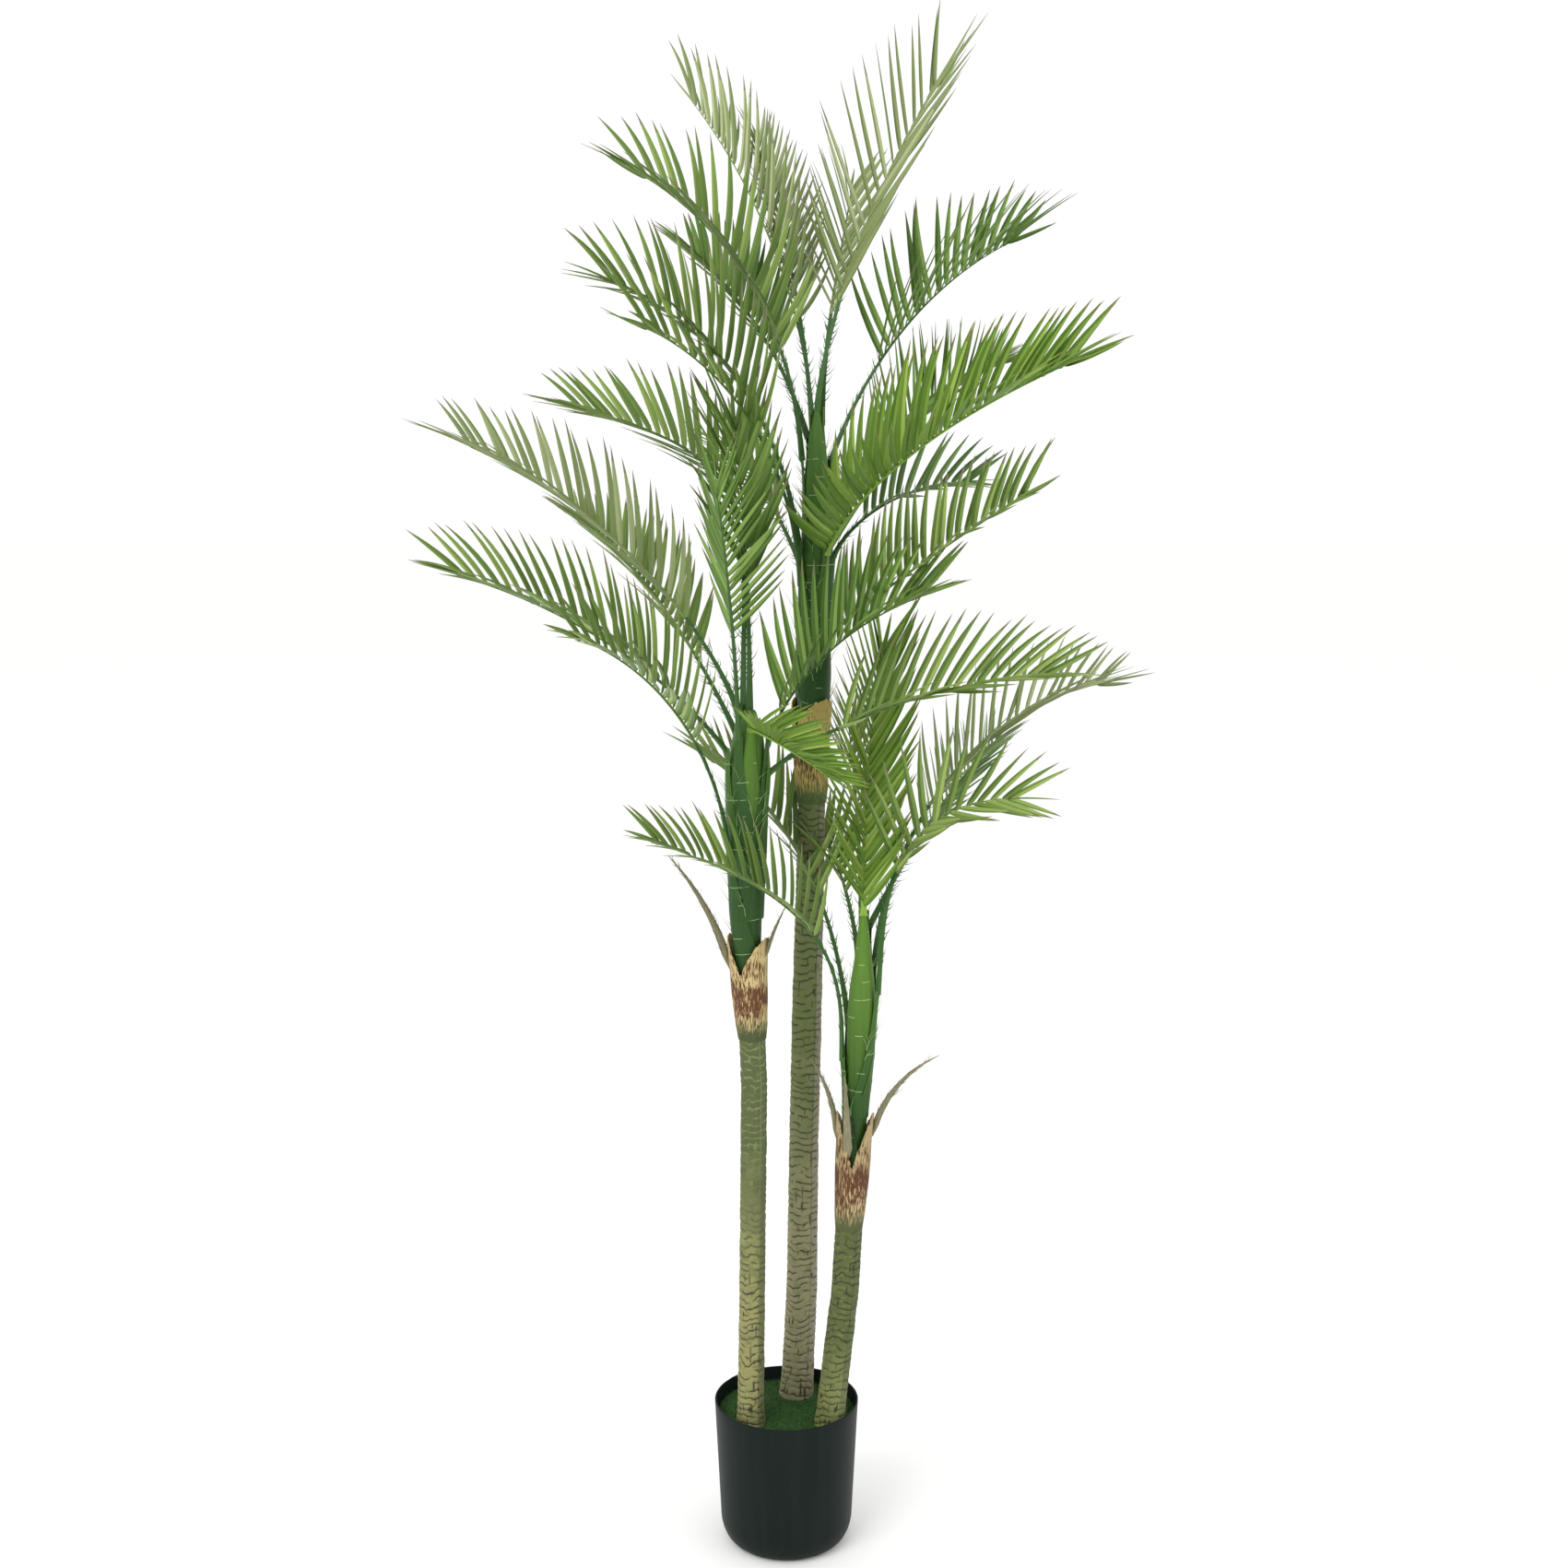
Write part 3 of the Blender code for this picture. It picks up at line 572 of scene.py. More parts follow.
def husk_rim(stem, turn):
    """Height of the torn edge: a notch in front and behind, and a flap on each side, in mm."""
    lobe = abs(sin(turn - radians(stem.turned)))
    teeth = noise.noise(Vector((cos(turn) * 9, sin(turn) * 9, stem.notch)))
    steps = noise.noise(Vector((cos(turn) * 26, sin(turn) * 26, stem.notch)))
    return stem.notch + stem.flap * lobe**0.8 + TEAR * (0.7 * teeth + 0.5 * steps)


def husk_material(name, foot, rim, cream, brown, olive, share):
    """Vacuum-formed sheet, printed and flocked: matt cream with broken upright fibres of reddish
    brown, most of them in a belt below the notch, and fading to the trunk's olive at its foot."""
    made, add, shader, spot = start_material(f"printed husk, {name}", cream, 0.85)
    height = add("SeparateXYZ", {0: spot}, give=2)
    fibres = drawn_out(add, spot, FIBRE_SIZE, 4.0)
    cloud = add("TexNoise", {"Vector": spot, "Scale": per(PATCH_SIZE), "Detail": 3.0})
    middle = (foot + (rim - foot) * BELT_AT) * MM
    off_middle = add("Math", {0: height, 1: middle}, operation="SUBTRACT")
    near = add("Math", {0: off_middle}, operation="ABSOLUTE")
    across = {"Value": near, "From Max": (rim - foot) * 0.5 * MM, "To Min": 0.175, "To Max": -0.03}
    belt = add("MapRange", across)
    mottled = add("Math", {0: cloud, 1: 0.35, 2: belt}, operation="MULTIPLY_ADD")
    total = add("Math", {0: fibres, 1: 1.0, 2: mottled}, operation="MULTIPLY_ADD")
    edge = {"Value": total, "From Min": 0.75 - share, "From Max": 0.81 - share}
    brownness = add("MapRange", edge)
    tone = add("Mix", {0: brownness, 6: cream, 7: brown}, give=2, data_type="RGBA")
    fading = {"From Min": foot * MM, "From Max": (foot + OLIVE_HEIGHT) * MM, "To Min": 1.0, "To Max": 0.0}
    low = add("MapRange", {"Value": height, **fading})
    ragged = add("Math", {0: fibres, 1: 1.6, 2: low}, operation="MULTIPLY_ADD")
    fade = add("MapRange", {"Value": ragged, "From Min": 1.0, "From Max": 1.5})
    print_mix = {0: fade, 6: tone, 7: olive}
    add("Mix", print_mix, give=2, into=shader["Base Color"], data_type="RGBA")
    ridges = {"Height": fibres, "Strength": 0.6, "Distance": 0.8 * MM}
    add("Bump", ridges, into=shader["Normal"])
    return made


# Heights of the foot and the rim, the cream, brown and olive, and how much more is printed brown.
HUSKS = {
    "left": (646, 768, "#bdaa77", "#5a3418", "#404a26", 0.03),
    "middle": (912, 1035, "#b09a58", "#4c3a1c", "#47582b", -0.03),
    "right": (412, 554, "#aa986c", "#543018", "#4b502a", 0.03),
}
for name, stem in STEMS.items():
    foot = stem.husk[0][0] - FOOT_LAP
    body = bmesh.new()

    def place(across, share):
        turn = 2 * pi * across
        height = foot + (husk_rim(stem, turn) - foot) * share
        _, shaft = stem_at(name, "shaft", round(height, 2))
        _, radius = stem_at(name, "husk", round(height, 2))
        pleat = 0.5 * noise.noise(Vector((cos(turn) * 5, sin(turn) * 5, height / 30)))
        lip = LIP * max(share - LIP_FROM, 0) / (1 - LIP_FROM)
        tuck = FOOT_TUCK * max(1 - share / TUCK_TO, 0)
        least = shaft + SHAFT_CLEARANCE if height > stem.shaft[0][0] else 0
        outer = max(radius, least) + pleat + lip - tuck
        return on_stem(name, "husk", turn, height, outer - radius)

    made = grid_patch(body, HUSK_SIDES, HUSK_ROWS, place)
    bmesh.ops.remove_doubles(body, verts=made, dist=1e-7)
    bmesh.ops.recalc_face_normals(body, faces=body.faces)
    bmesh.ops.solidify(body, geom=body.faces[:], thickness=HUSK_WALL * MM)
    husk = finish(body, f"dry_sheath_{name}", [husk_material(name, *HUSKS[name])], sharp=50)
    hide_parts(f"husk_{name}")


# ---- Crownshafts -----------------------------------------------------------------------------
# The green column above each husk: smooth moulded polyethylene, bottle green low down and grass
# green at the top, with pale rings broken into short dashes where leaf bases were moulded.

SHAFT_SIDES = 72
SHAFT_ROW = 3.0
CORE_UNDER = 1.2  # by which the core lies under the outermost sheath
FLUTES = 0.25
BUD_FROM = 0.88  # share of the height from which the core closes to a bud
BUD_TOP = 0.65  # the bud's blunt end, as a share of the radius
BUD_RISE = 1.5
STREAK_SIZE = (2.38, 2.38, 111)
DASH_STEP = 20
DASH_SHARE = 0.045  # thickness of a dash as a share of the step
DASH_PATCH = (10.5, 10.5, 20)  # about how long the dashes and the gaps between them are


def shaft_material(name, low, high, foot, top):
    """Smooth moulded polyethylene with a satin face, shaded from dark to light up its height,
    with faint upright fibres and short pale dashes about every 20 mm."""
    made, add, shader, spot = start_material(name, low, 0.46, specular=0.2)
    height = add("SeparateXYZ", {0: spot}, give=2)
    between = {"Value": height, "From Min": foot * MM, "From Max": top * MM}
    rise = add("MapRange", between, interpolation_type="SMOOTHSTEP")
    fibres = drawn_out(add, spot, STREAK_SIZE, 2.0)
    uneven = add("Math", {0: fibres, 1: 0.5, 2: rise}, operation="MULTIPLY_ADD")
    shift = add("Math", {0: uneven, 1: 0.25}, operation="SUBTRACT", use_clamp=True)
    tone = add("Mix", {0: shift, 6: low, 7: high}, give=2, data_type="RGBA")
    wander = add("TexNoise", {"Vector": spot, "Scale": per(100), "Detail": 0.0})
    step = {0: height, 1: per(DASH_STEP), 2: wander}
    rings = add("Math", step, operation="MULTIPLY_ADD")
    saw = add("Math", {0: rings}, operation="FRACT")
    line = add("Math", {0: saw, 1: DASH_SHARE}, operation="LESS_THAN")
    where = drawn_out(add, spot, DASH_PATCH, 0.0)
    shown = add("Math", {0: where, 1: 0.57}, operation="GREATER_THAN")
    dash = add("Math", {0: line, 1: shown}, operation="MULTIPLY")
    faint = add("Math", {0: dash, 1: 0.55}, operation="MULTIPLY")
    marked = {0: faint, 6: tone, 7: "#a8bd8a"}
    add("Mix", marked, give=2, into=shader["Base Color"], data_type="RGBA")
    ridges = {"Height": fibres, "Strength": 0.25, "Distance": 0.5 * MM}
    add("Bump", ridges, into=shader["Normal"])
    return made


# Old, plain and young sheets: the colour low down and the colour at the top.
GREENS = [("#22431f", "#375a27"), ("#28481d", "#446826"), ("#27441a", "#567a2b")]
CORE_AGE = {"left": 1, "middle": 1, "right": 2}  # which of the three greens a core has
# Heights where the dark colour ends and where the light one is reached.
SHAFT_TONES = {"left": (760, 1040), "middle": (1060, 1350), "right": (500, 770)}
SHAFTS = {
    name: [
        shaft_material(f"green sheath {k}, {name}", *tones, *SHAFT_TONES[name])
        for k, tones in enumerate(GREENS)
    ]
    for name in STEMS
}
for name, stem in STEMS.items():
    foot, top = stem.shaft[0][0], stem.shaft[-1][0] + BUD_RISE
    body = bmesh.new()

    def place(turn, share):
        height = foot + (top - foot) * share
        flute = FLUTES * noise.noise(Vector((cos(turn) * 4, sin(turn) * 4, height / 120)))
        closing = max(share - BUD_FROM, 0) / (1 - BUD_FROM)
        point = on_stem(name, "shaft", turn, height, flute - CORE_UNDER)
        axis = on_stem(name, "shaft", 0, height, -stem_at(name, "shaft", round(height, 2))[1])
        return axis.lerp(point, BUD_TOP + (1 - BUD_TOP) * (1 - closing**2) ** 0.5)

    tube(body, SHAFT_SIDES, round((top - foot) / SHAFT_ROW), place)
    shaft = finish(body, f"shaft_core_{name}", [SHAFTS[name][CORE_AGE[name]]], sharp=60)
    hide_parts(f"crownshaft_{name}")


# ---- Sheaths ---------------------------------------------------------------------------------
# Every stalk widens downwards into a thin sheath that wraps part of the crownshaft. The lower a
# frond leaves the shaft, the further out its sheath lies. Each is a curved strip given a wall.

# Height where the stalk leaves the crownshaft, length of the stalk and of the whole frond, and
# the leaflets' reach are in mm. The heading (0 right, 90 away, 180 left) and its drift to the
# tip, the rise above level at the foot and at the tip, and the roll of the blade are in degrees.
# The rise changes by the power of the share of the length, or round a crook at that share.
Frond = namedtuple(
    "Frond",
    "name stem height heading rise tip power stalk length roll reach tint drift crook",
    defaults=(0, 0),
)
FRONDS = [
    Frond("middle_01", "middle", 1362, 130, 88, 38, 0.6, 130, 485, 48, 122, "pale"),
    Frond("middle_02", "middle", 1310, 180, 85, 22, 1.2, 130, 420, -48, 118, "mid"),
    Frond("middle_03", "middle", 1335, 136, 68, 26, 0.9, 110, 330, -21, 100, "deep"),
    Frond("middle_04", "middle", 1214, 205, 80, 8, 1.2, 170, 430, -66, 120, "mid"),
    Frond("middle_05", "middle", 1167, 220, 86, 10, 1.0, 190, 425, -62, 130, "mid"),
    Frond("middle_06", "middle", 1366.2, 36, 85, 51, 0.6, 130, 455, 28, 148, "pale"),
    Frond("middle_07", "middle", 1350, 62, 88, 25, 1.0, 130, 370, 10, 110, "pale", drift=25),
    Frond("middle_08", "middle", 1310, 25, 67, 18, 1.1, 130, 395, 4, 138, "deep"),
    Frond("middle_09", "middle", 1205, -60, 52, 22, 0.5, 5, 425, 42, 130, "bright", drift=50),
    Frond("middle_10", "middle", 1225, 52, 54, 4, 0.8, 130, 465, 24, 110, "deep"),
    Frond("middle_11", "middle", 1200, -35, 65, -5, 0.6, 60, 250, 58, 90, "grey"),
    Frond("middle_12", "middle", 1110, -45, 34, 26, 1.0, 30, 375, 65, 110, "mid"),
    Frond("middle_13", "middle", 1340, 110, 80, 45, 0.8, 140, 428, 0, 90, "pale", drift=3),
    Frond("middle_14", "middle", 1170, 118, 50, 20, 1.0, 100, 300, -45, 100, "mid"),
    Frond("middle_15", "middle", 1130, 82, 41, 10, 1.0, 100, 370, -2, 90, "mid"),
    Frond("left_01", "left", 992, -22, 72, 14, 0.8, 45, 300, 44, 120, "deep"),
    Frond("left_02", "left", 1010, 110, 92, 12, 6.0, 260, 525, -42, 100, "mid", drift=65, crook=0.52),
    Frond("left_03", "left", 1025, 146, 70, 15, 0.55, 130, 555, -26, 125, "pale"),
    Frond("left_04", "left", 1000, 124, 47, 12, 1.0, 120, 480, -10, 100, "mid"),
    Frond("left_05", "left", 985, 205, 52, 14, 0.9, 100, 418, -46, 110, "mid"),
    Frond("left_06", "left", 865, 226, 83, 13, 0.9, 150, 405, -60, 110, "mid"),
    Frond("left_07", "left", 1000, 245, 86, 70, 1.0, 120, 330, 0, 100, "deep"),
    Frond("left_08", "left", 1031.2, 115, 90, 72, 1.2, 145, 360, -25, 130, "deep"),
    Frond("left_09", "left", 1012, -80, 10, -45, 0.8, 10, 190, 0, 70, "bright", drift=80),
    Frond("left_10", "left", 960, -16, 42, 3, 0.7, 100, 385, 42, 110, "mid"),
    Frond("right_01", "right", 730, 34, 85, -5, 0.9, 200, 540, 24, 110, "pale"),
    Frond("right_02", "right", 775, 56, 42, 16, 1.0, 150, 400, 18, 80, "grey"),
    Frond("right_03", "right", 700, -28, 86, -5, 3.0, 150, 370, 66, 120, "mid", crook=0.7),
    Frond("right_04", "right", 791.2, 72, 90, 45, 1.5, 12, 354, 18, 120, "bright"),
    Frond("right_05", "right", 620, 202, 89, 20, 2.5, 160, 430, -48, 90, "mid", crook=0.38),
    Frond("right_06", "right", 655, 130, 80, 20, 1.2, 160, 410, -18, 100, "mid", drift=30),
    Frond("right_07", "right", 770, 95, 76, 30, 1.0, 130, 310, 0, 90, "pale"),
    Frond("right_08", "right", 740, 110, 70, 5, 1.0, 80, 230, 0, 100, "mid"),
]
STALK_HALF_DEPTH = 2.6
STALK_CLEARANCE = 1.2
SHEATH_REACH = {"left": 170, "middle": 130, "right": 150}  # down the shaft
NOTCH_CLEARANCE = 6
SHEATH_WALL = 0.6
SHEATH_LAYER = 0.2  # by which each next sheath lies further out
SHEATH_GAP = 0.25  # to the core
SHEATH_HALF_TURN = radians(105)
SHEATH_TAPER = 1.7
SHEATH_HALF_TOP = 4.6  # half its width at the stalk
SHEATH_EDGE = 0.9  # by which its free edges stand off
SHEATH_RIDGE = 3.0
SHEATH_OVER = 5  # by which it runs up the back of the stalk
FIBRES_EACH = 7
SHEATH_AGE = {"grey": 0, "deep": 0, "mid": 1, "pale": 2, "bright": 2}  # which green a sheath has
SHEATH_COLUMNS = 20
SHEATH_ROWS = 34


def stalk_away(frond):
    """Distance from the stem's axis to the middle of a stalk's foot, in mm. A stalk that is higher
    than the crownshaft stands on its end."""
    if frond.height > STEMS[frond.stem].shaft[-1][0]:
        return 0
    above = [radius for height, _, radius in STEMS[frond.stem].shaft if height >= frond.height]
    heights, _, radii = zip(*STEMS[frond.stem].shaft)
    here = float(np.interp(frond.height, heights, radii))
    return max([here, *above]) + STALK_HALF_DEPTH + STALK_CLEARANCE


hairs = []
hair = hair_template(0.00045, 0.03, 0.012)
draw = random.Random(23)
for name, stem in STEMS.items():
    body = bmesh.new()
    fronds = sorted((f for f in FRONDS if f.stem == name), key=lambda f: -f.height)
    for layer, frond in enumerate(fronds):
        foot = max(frond.height - SHEATH_REACH[name], stem.notch + NOTCH_CLEARANCE)
        out = max(stalk_away(frond), stem.shaft[-1][2] + STALK_HALF_DEPTH)
        narrow = SHEATH_HALF_TOP / out

        def place(across, share):
            height = foot + (frond.height + SHEATH_OVER - foot) * share
            _, radius = stem_at(name, "shaft", round(min(height, stem.shaft[-1][0]), 2))
            off = (across - 0.5) * 2
            flank = narrow + (SHEATH_HALF_TURN - narrow) * (1 - share) ** SHEATH_TAPER
            lie = radius - CORE_UNDER + SHEATH_GAP + layer * SHEATH_LAYER
            lift = (out - lie) * share**4
            edge = SHEATH_EDGE * abs(off) ** 4 * (1 - share)
            ridge = SHEATH_RIDGE * (1 - off**2) * share**3
            proud = lie + lift + edge + ridge - radius
            return on_stem(name, "shaft", radians(frond.heading) + flank * off, height, proud)

        made = grid_patch(body, SHEATH_COLUMNS, SHEATH_ROWS, place)
        faces = list({face for vert in made for face in vert.link_faces})
        for face in faces:
            face.material_index = SHEATH_AGE[frond.tint]
        bmesh.ops.recalc_face_normals(body, faces=faces)
        bmesh.ops.solidify(body, geom=faces, thickness=SHEATH_WALL * MM)
        for _ in range(FIBRES_EACH):
            side = draw.choice((0.0, 1.0))
            start = place(side, draw.uniform(0.15, 0.75))
            x, _ = stem_at(name, "shaft", round(start.z / MM, 2))
            outward = Vector((start.x - x * MM, start.y - stem.depth * MM, 0))
            up = Vector((0, 0, 1)) + outward.normalized() * draw.uniform(0.15, 0.6)
            toward = outward.cross(Vector((0, 0, 1))) * draw.choice((1, -1))
            grow(hairs, hair, start, up, toward, long=draw.uniform(0.4, 1.15))
    sheaths = finish(body, f"sheaths_{name}", SHAFTS[name], sharp=60)
    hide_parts(f"crownshaft_{name}")

# Loose edge fibres, cut from the same green sheet: thin and pale.
fibre, *_ = start_material("loose edge fibre", "#8ea56c", 0.6)
sheath_hairs = join_copies("sheath_hairs", hair, hairs, [fibre])
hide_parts(*[f"crownshaft_{name}" for name in STEMS])


# ---- Stalks and ribs -------------------------------------------------------------------------
# A frond's stalk is a channelled strip of moulded polyethylene over a wire, which goes on as the
# rib between the leaflets and thins to its end. Bare stalks carry two rows of thin spines.

RIB_HALF_WIDTH = {"pale": 2.1, "bright": 3.4, "mid": 2.1, "deep": 2.1, "grey": 2.1}
STALK_WIDER = 2.1  # by which half the stalk's foot is wider than half the rib
NECK_WIDER = 0.6  # the same, a little below the leaflets
NECK_AT = 0.45  # share of the bare stalk
RIB_TIP_HALF_WIDTH = 0.6
RIB_DEPTH = 0.95  # half the depth as a share of half the width
TOP_DEPTH = 0.6  # the top face is flatter, by this share at its edges
CHANNEL = 0.35  # and by this share more in its middle
RIB_END = 45  # by which the rib ends short of the last leaflet's tip
STALK_SIDES = 12
STALK_ROWS = 70
PATH_STEPS = 40
SPINE_STEP = 8.5
SPINES_FROM = 0.2  # share of the bare stalk
TINTS = ("pale", "bright", "mid", "deep", "grey")


def rib_path(start, frond, length):
    """Points, directions and upward sides along an arching rib, from its foot to its tip."""
    spot = Vector(start)
    path = []
    for k in range(PATH_STEPS + 1):
        share = k / PATH_STEPS
        bent = share**frond.power
        if frond.crook:
            bent = (1 + frond.crook**frond.power) * bent / (bent + frond.crook**frond.power)
        slope = radians(frond.rise + (frond.tip - frond.rise) * bent)
        turn = radians(frond.heading + frond.drift * share)
        ahead = Vector((cos(turn), sin(turn), 0))
        along = ahead * cos(slope) + Vector((0, 0, sin(slope)))
        upward = Vector((0, 0, cos(slope))) - ahead * sin(slope)
        path.append((spot.copy(), along, upward))
        spot += along * (length / PATH_STEPS)
    return path


def frond_path(frond):
    """The arching rib of a frond, from where its stalk leaves the crownshaft."""
    stem = STEMS[frond.stem]
    heights, places, _ = zip(*stem.shaft)
    x = float(np.interp(frond.height, heights, places))
    turn = radians(frond.heading)
    away = stalk_away(frond)
    start = Vector((x + away * cos(turn), stem.depth + away * sin(turn), frond.height)) * MM
    return rib_path(start, frond, frond.length * MM)


def frond_frame(path, frond, share):
    """Place, direction, the way the blade's fold opens, and its side, after the frond's roll."""
    where = min(max(share, 0.0), 1.0) * PATH_STEPS
    k = min(int(where), PATH_STEPS - 1)
    spot, along, upward = [a.lerp(b, where - k) for a, b in zip(path[k], path[k + 1])]
    across = along.cross(upward)
    roll = radians(frond.roll)
    return spot, along, upward * cos(roll) + across * sin(roll), across * cos(roll) - upward * sin(roll)


def stalk_half_width(frond, share):
    """Half the width of the stalk or rib at a share of the frond's length, in mm."""
    bare = frond.stalk / frond.length
    last = 1 - RIB_END / frond.length
    rib = RIB_HALF_WIDTH[frond.tint]
    widths = (rib + STALK_WIDER, rib + NECK_WIDER, rib, RIB_TIP_HALF_WIDTH)
    return float(np.interp(share, (0, bare * NECK_AT, bare, last), widths))


def uneven_gloss(add, shader, spot, size, low, high):
    """A satin sheen that changes a little from patch to patch, each about so many mm wide."""
    sheen = add("TexNoise", {"Vector": spot, "Scale": per(size), "Detail": 2.0})
    gloss = {"Value": sheen, "To Min": low, "To Max": high}
    add("MapRange", gloss, into=shader["Roughness"])


RIB_COLOURS = ("#6f8a4c", "#7d9f42", "#56763d", "#3f6032", "#4c6b4a")
ribs = []
for tint, colour in zip(TINTS, RIB_COLOURS):
    # Moulded polyethylene in the frond's own green: an even, satin face.
    made, add, shader, spot = start_material(f"moulded rib, {tint}", colour, 0.5, specular=0.2)
    uneven_gloss(add, shader, spot, 8.33, 0.38, 0.62)
    ribs.append(made)

spine = hair_template(0.0008, 0.0135, 0.006)
draw = random.Random(5)
for name in STEMS:
    body = bmesh.new()
    spines = []
    for frond in (f for f in FRONDS if f.stem == name):
        path = frond_path(frond)
        last = 1 - RIB_END / frond.length
        tint = TINTS.index(frond.tint)

        def place(turn, share):
            part = last * share
            spot, along, middle, side = frond_frame(path, frond, part)
            half = stalk_half_width(frond, part)
            wide = half * cos(turn)
            deep = half * RIB_DEPTH * sin(turn)
            if sin(turn) > 0:
                deep *= TOP_DEPTH - CHANNEL * sin(turn) ** 3
            return spot + (side * wide + middle * deep) * MM

        made = tube(body, STALK_SIDES, STALK_ROWS, place)
        # Stalks are deep green below the leaflets, but for the bright fronds, which are all one.
        stalk_tint = tint if frond.tint == "bright" else TINTS.index("deep")
        for face in {face for vert in made for face in vert.link_faces}:
            from_foot = (face.calc_center_median() - path[0][0]).length
            face.material_index = stalk_tint if from_foot < frond.stalk * MM else tint
        bare = frond.stalk / frond.length
        count = round(frond.stalk * (1 - SPINES_FROM) / SPINE_STEP)
        for k in range(count):
            share = bare * (SPINES_FROM + (1 - SPINES_FROM) * (k + draw.random()) / count)
            for sign in (1, -1):
                spot, along, middle, side = frond_frame(path, frond, share)
                start = spot + side * sign * stalk_half_width(frond, share) * 0.8 * MM
                up = side * sign + along * draw.uniform(0.5, 1.3) + middle * draw.uniform(-0.5, 0.4)
                grow(spines, spine, start, up, along, stalk_tint, long=draw.uniform(0.5, 1.25))
    nodes = [f"frond_{frond.name}" for frond in FRONDS if frond.stem == name]
    stalks = finish(body, f"stalks_{name}", ribs, sharp=50)
    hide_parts(*nodes)
    thorns = join_copies(f"spines_{name}", spine, spines, ribs)
    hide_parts(*nodes)


# ---- Leaflets --------------------------------------------------------------------------------
# The leaflets are die-cut from dyed polyethylene sheet and heat-pressed into a shallow fold, in
# two rows that stand in a steep V on the rib. One is modelled and then copied along every rib,
# longest a third of the way along, and each copy is bent and twisted a little differently. One
# half of every leaflet is painted a step lighter than the other, as painted light on its fold, and
# the copies are dealt painted shade or a painted highlight at random.

LEAFLET_LENGTH = 130
LEAFLET_HALF_WIDTH = 4.5
LEAFLET_WALL = 0.35
LEAFLET_FOLD = 0.42  # rise of an edge over the middle line, as a share of its half width
# Half width along the leaflet, as shares of the length and of the widest half width.
OUTLINE = [
    (0, 0.22), (0.025, 0.62), (0.07, 0.88), (0.18, 0.98), (0.32, 1.0),
    (0.5, 0.9), (0.68, 0.68), (0.83, 0.42), (0.94, 0.17), (1, 0.02),
]
TIP_FROM = 0.86  # share of the length from which a leaflet wears the colour of its tip
ROW_ANGLE = radians(45)  # how steeply a row stands on the rib
TIP_SWEEP = radians(25)  # how far the last leaflets lean from the rib
SWEEP_POWER = 2
FULL_FROM = 0.3  # share of the rib where the leaflets are longest
FOOT_REACH = 0.82  # length of the lowest against the longest
TIP_LOSS = 0.5
LAST_REACH = 0.5  # length of the one that ends the rib
# Face parts of a leaflet: the half in painted shade, the half in painted light one step lighter, and the
# tip.
PAINTED_SHADE_HALF, PAINTED_LIGHT_HALF, TIP = 0, 1, 2
# The moulds differ: in the step from one leaflet to the next, as a share of the frond's reach, in
# how far the lowest leaflets lean from the rib, in degrees, and in a leaflet's width against the
# widest.
Mould = namedtuple("Mould", "step sweep wide")
MOULDS = {
    "pale": Mould(0.14, 42, 0.85),
    "bright": Mould(0.085, 52, 1.05),
    "mid": Mould(0.123, 49, 1.0),
    "deep": Mould(0.092, 52, 1.0),
    "grey": Mould(0.13, 48, 0.9),
}
PLUME_SWEEP = {"left_08": 38, "right_04": 38}  # upright plumes hold their lowest ones closer

body = bmesh.new()
made = bmesh.ops.create_grid(body, x_segments=2, y_segments=len(OUTLINE) - 1, size=1)["verts"]
for vert in made:
    row = round((vert.co.y + 1) / 2 * (len(OUTLINE) - 1))
    share, half = OUTLINE[row]
    across = vert.co.x * half * LEAFLET_HALF_WIDTH
    vert.co = Vector((across, share * LEAFLET_LENGTH, abs(across) * LEAFLET_FOLD)) * MM
# The half on +X is painted one step lighter than the other: painted light on one side of the fold.
for face in body.faces:
    middle = face.calc_center_median()
    face.material_index = PAINTED_LIGHT_HALF if middle.x > 0 else PAINTED_SHADE_HALF
    if middle.y > TIP_FROM * LEAFLET_LENGTH * MM:
        face.material_index = TIP
bmesh.ops.recalc_face_normals(body, faces=body.faces)
bmesh.ops.solidify(body, geom=body.faces[:], thickness=LEAFLET_WALL * MM)
leaflet = read_template(body)

# For each tint: the colour with painted shade, the plain colour, the colour with a painted highlight, and
# the tip's own duller olive.
LEAF_COLOURS = {
    "pale": ("#6c7d4a", "#82905c", "#a2ac7f", "#7d7e68"),
    "bright": ("#587827", "#6d8c32", "#8ba54a", "#6f793a"),
    "mid": ("#5b7436", "#728b43", "#92a75b", "#777958"),
    "deep": ("#4a6627", "#5d7c34", "#799648", "#646b42"),
    "grey": ("#557042", "#6c8852", "#8ba66e", "#70795a"),
}


def in_stem(point):
    """True inside any stem, so that no leaflet is left growing through one."""
    height = point.z / MM
    for name, stem in STEMS.items():
        for part in ("trunk", "husk", "shaft"):
            rings = getattr(stem, part)
            if rings[0][0] <= height <= rings[-1][0]:
                x, radius = stem_at(name, part, round(height))
                if hypot(point.x / MM - x, point.y / MM - stem.depth) < radius:
                    return True
    return False


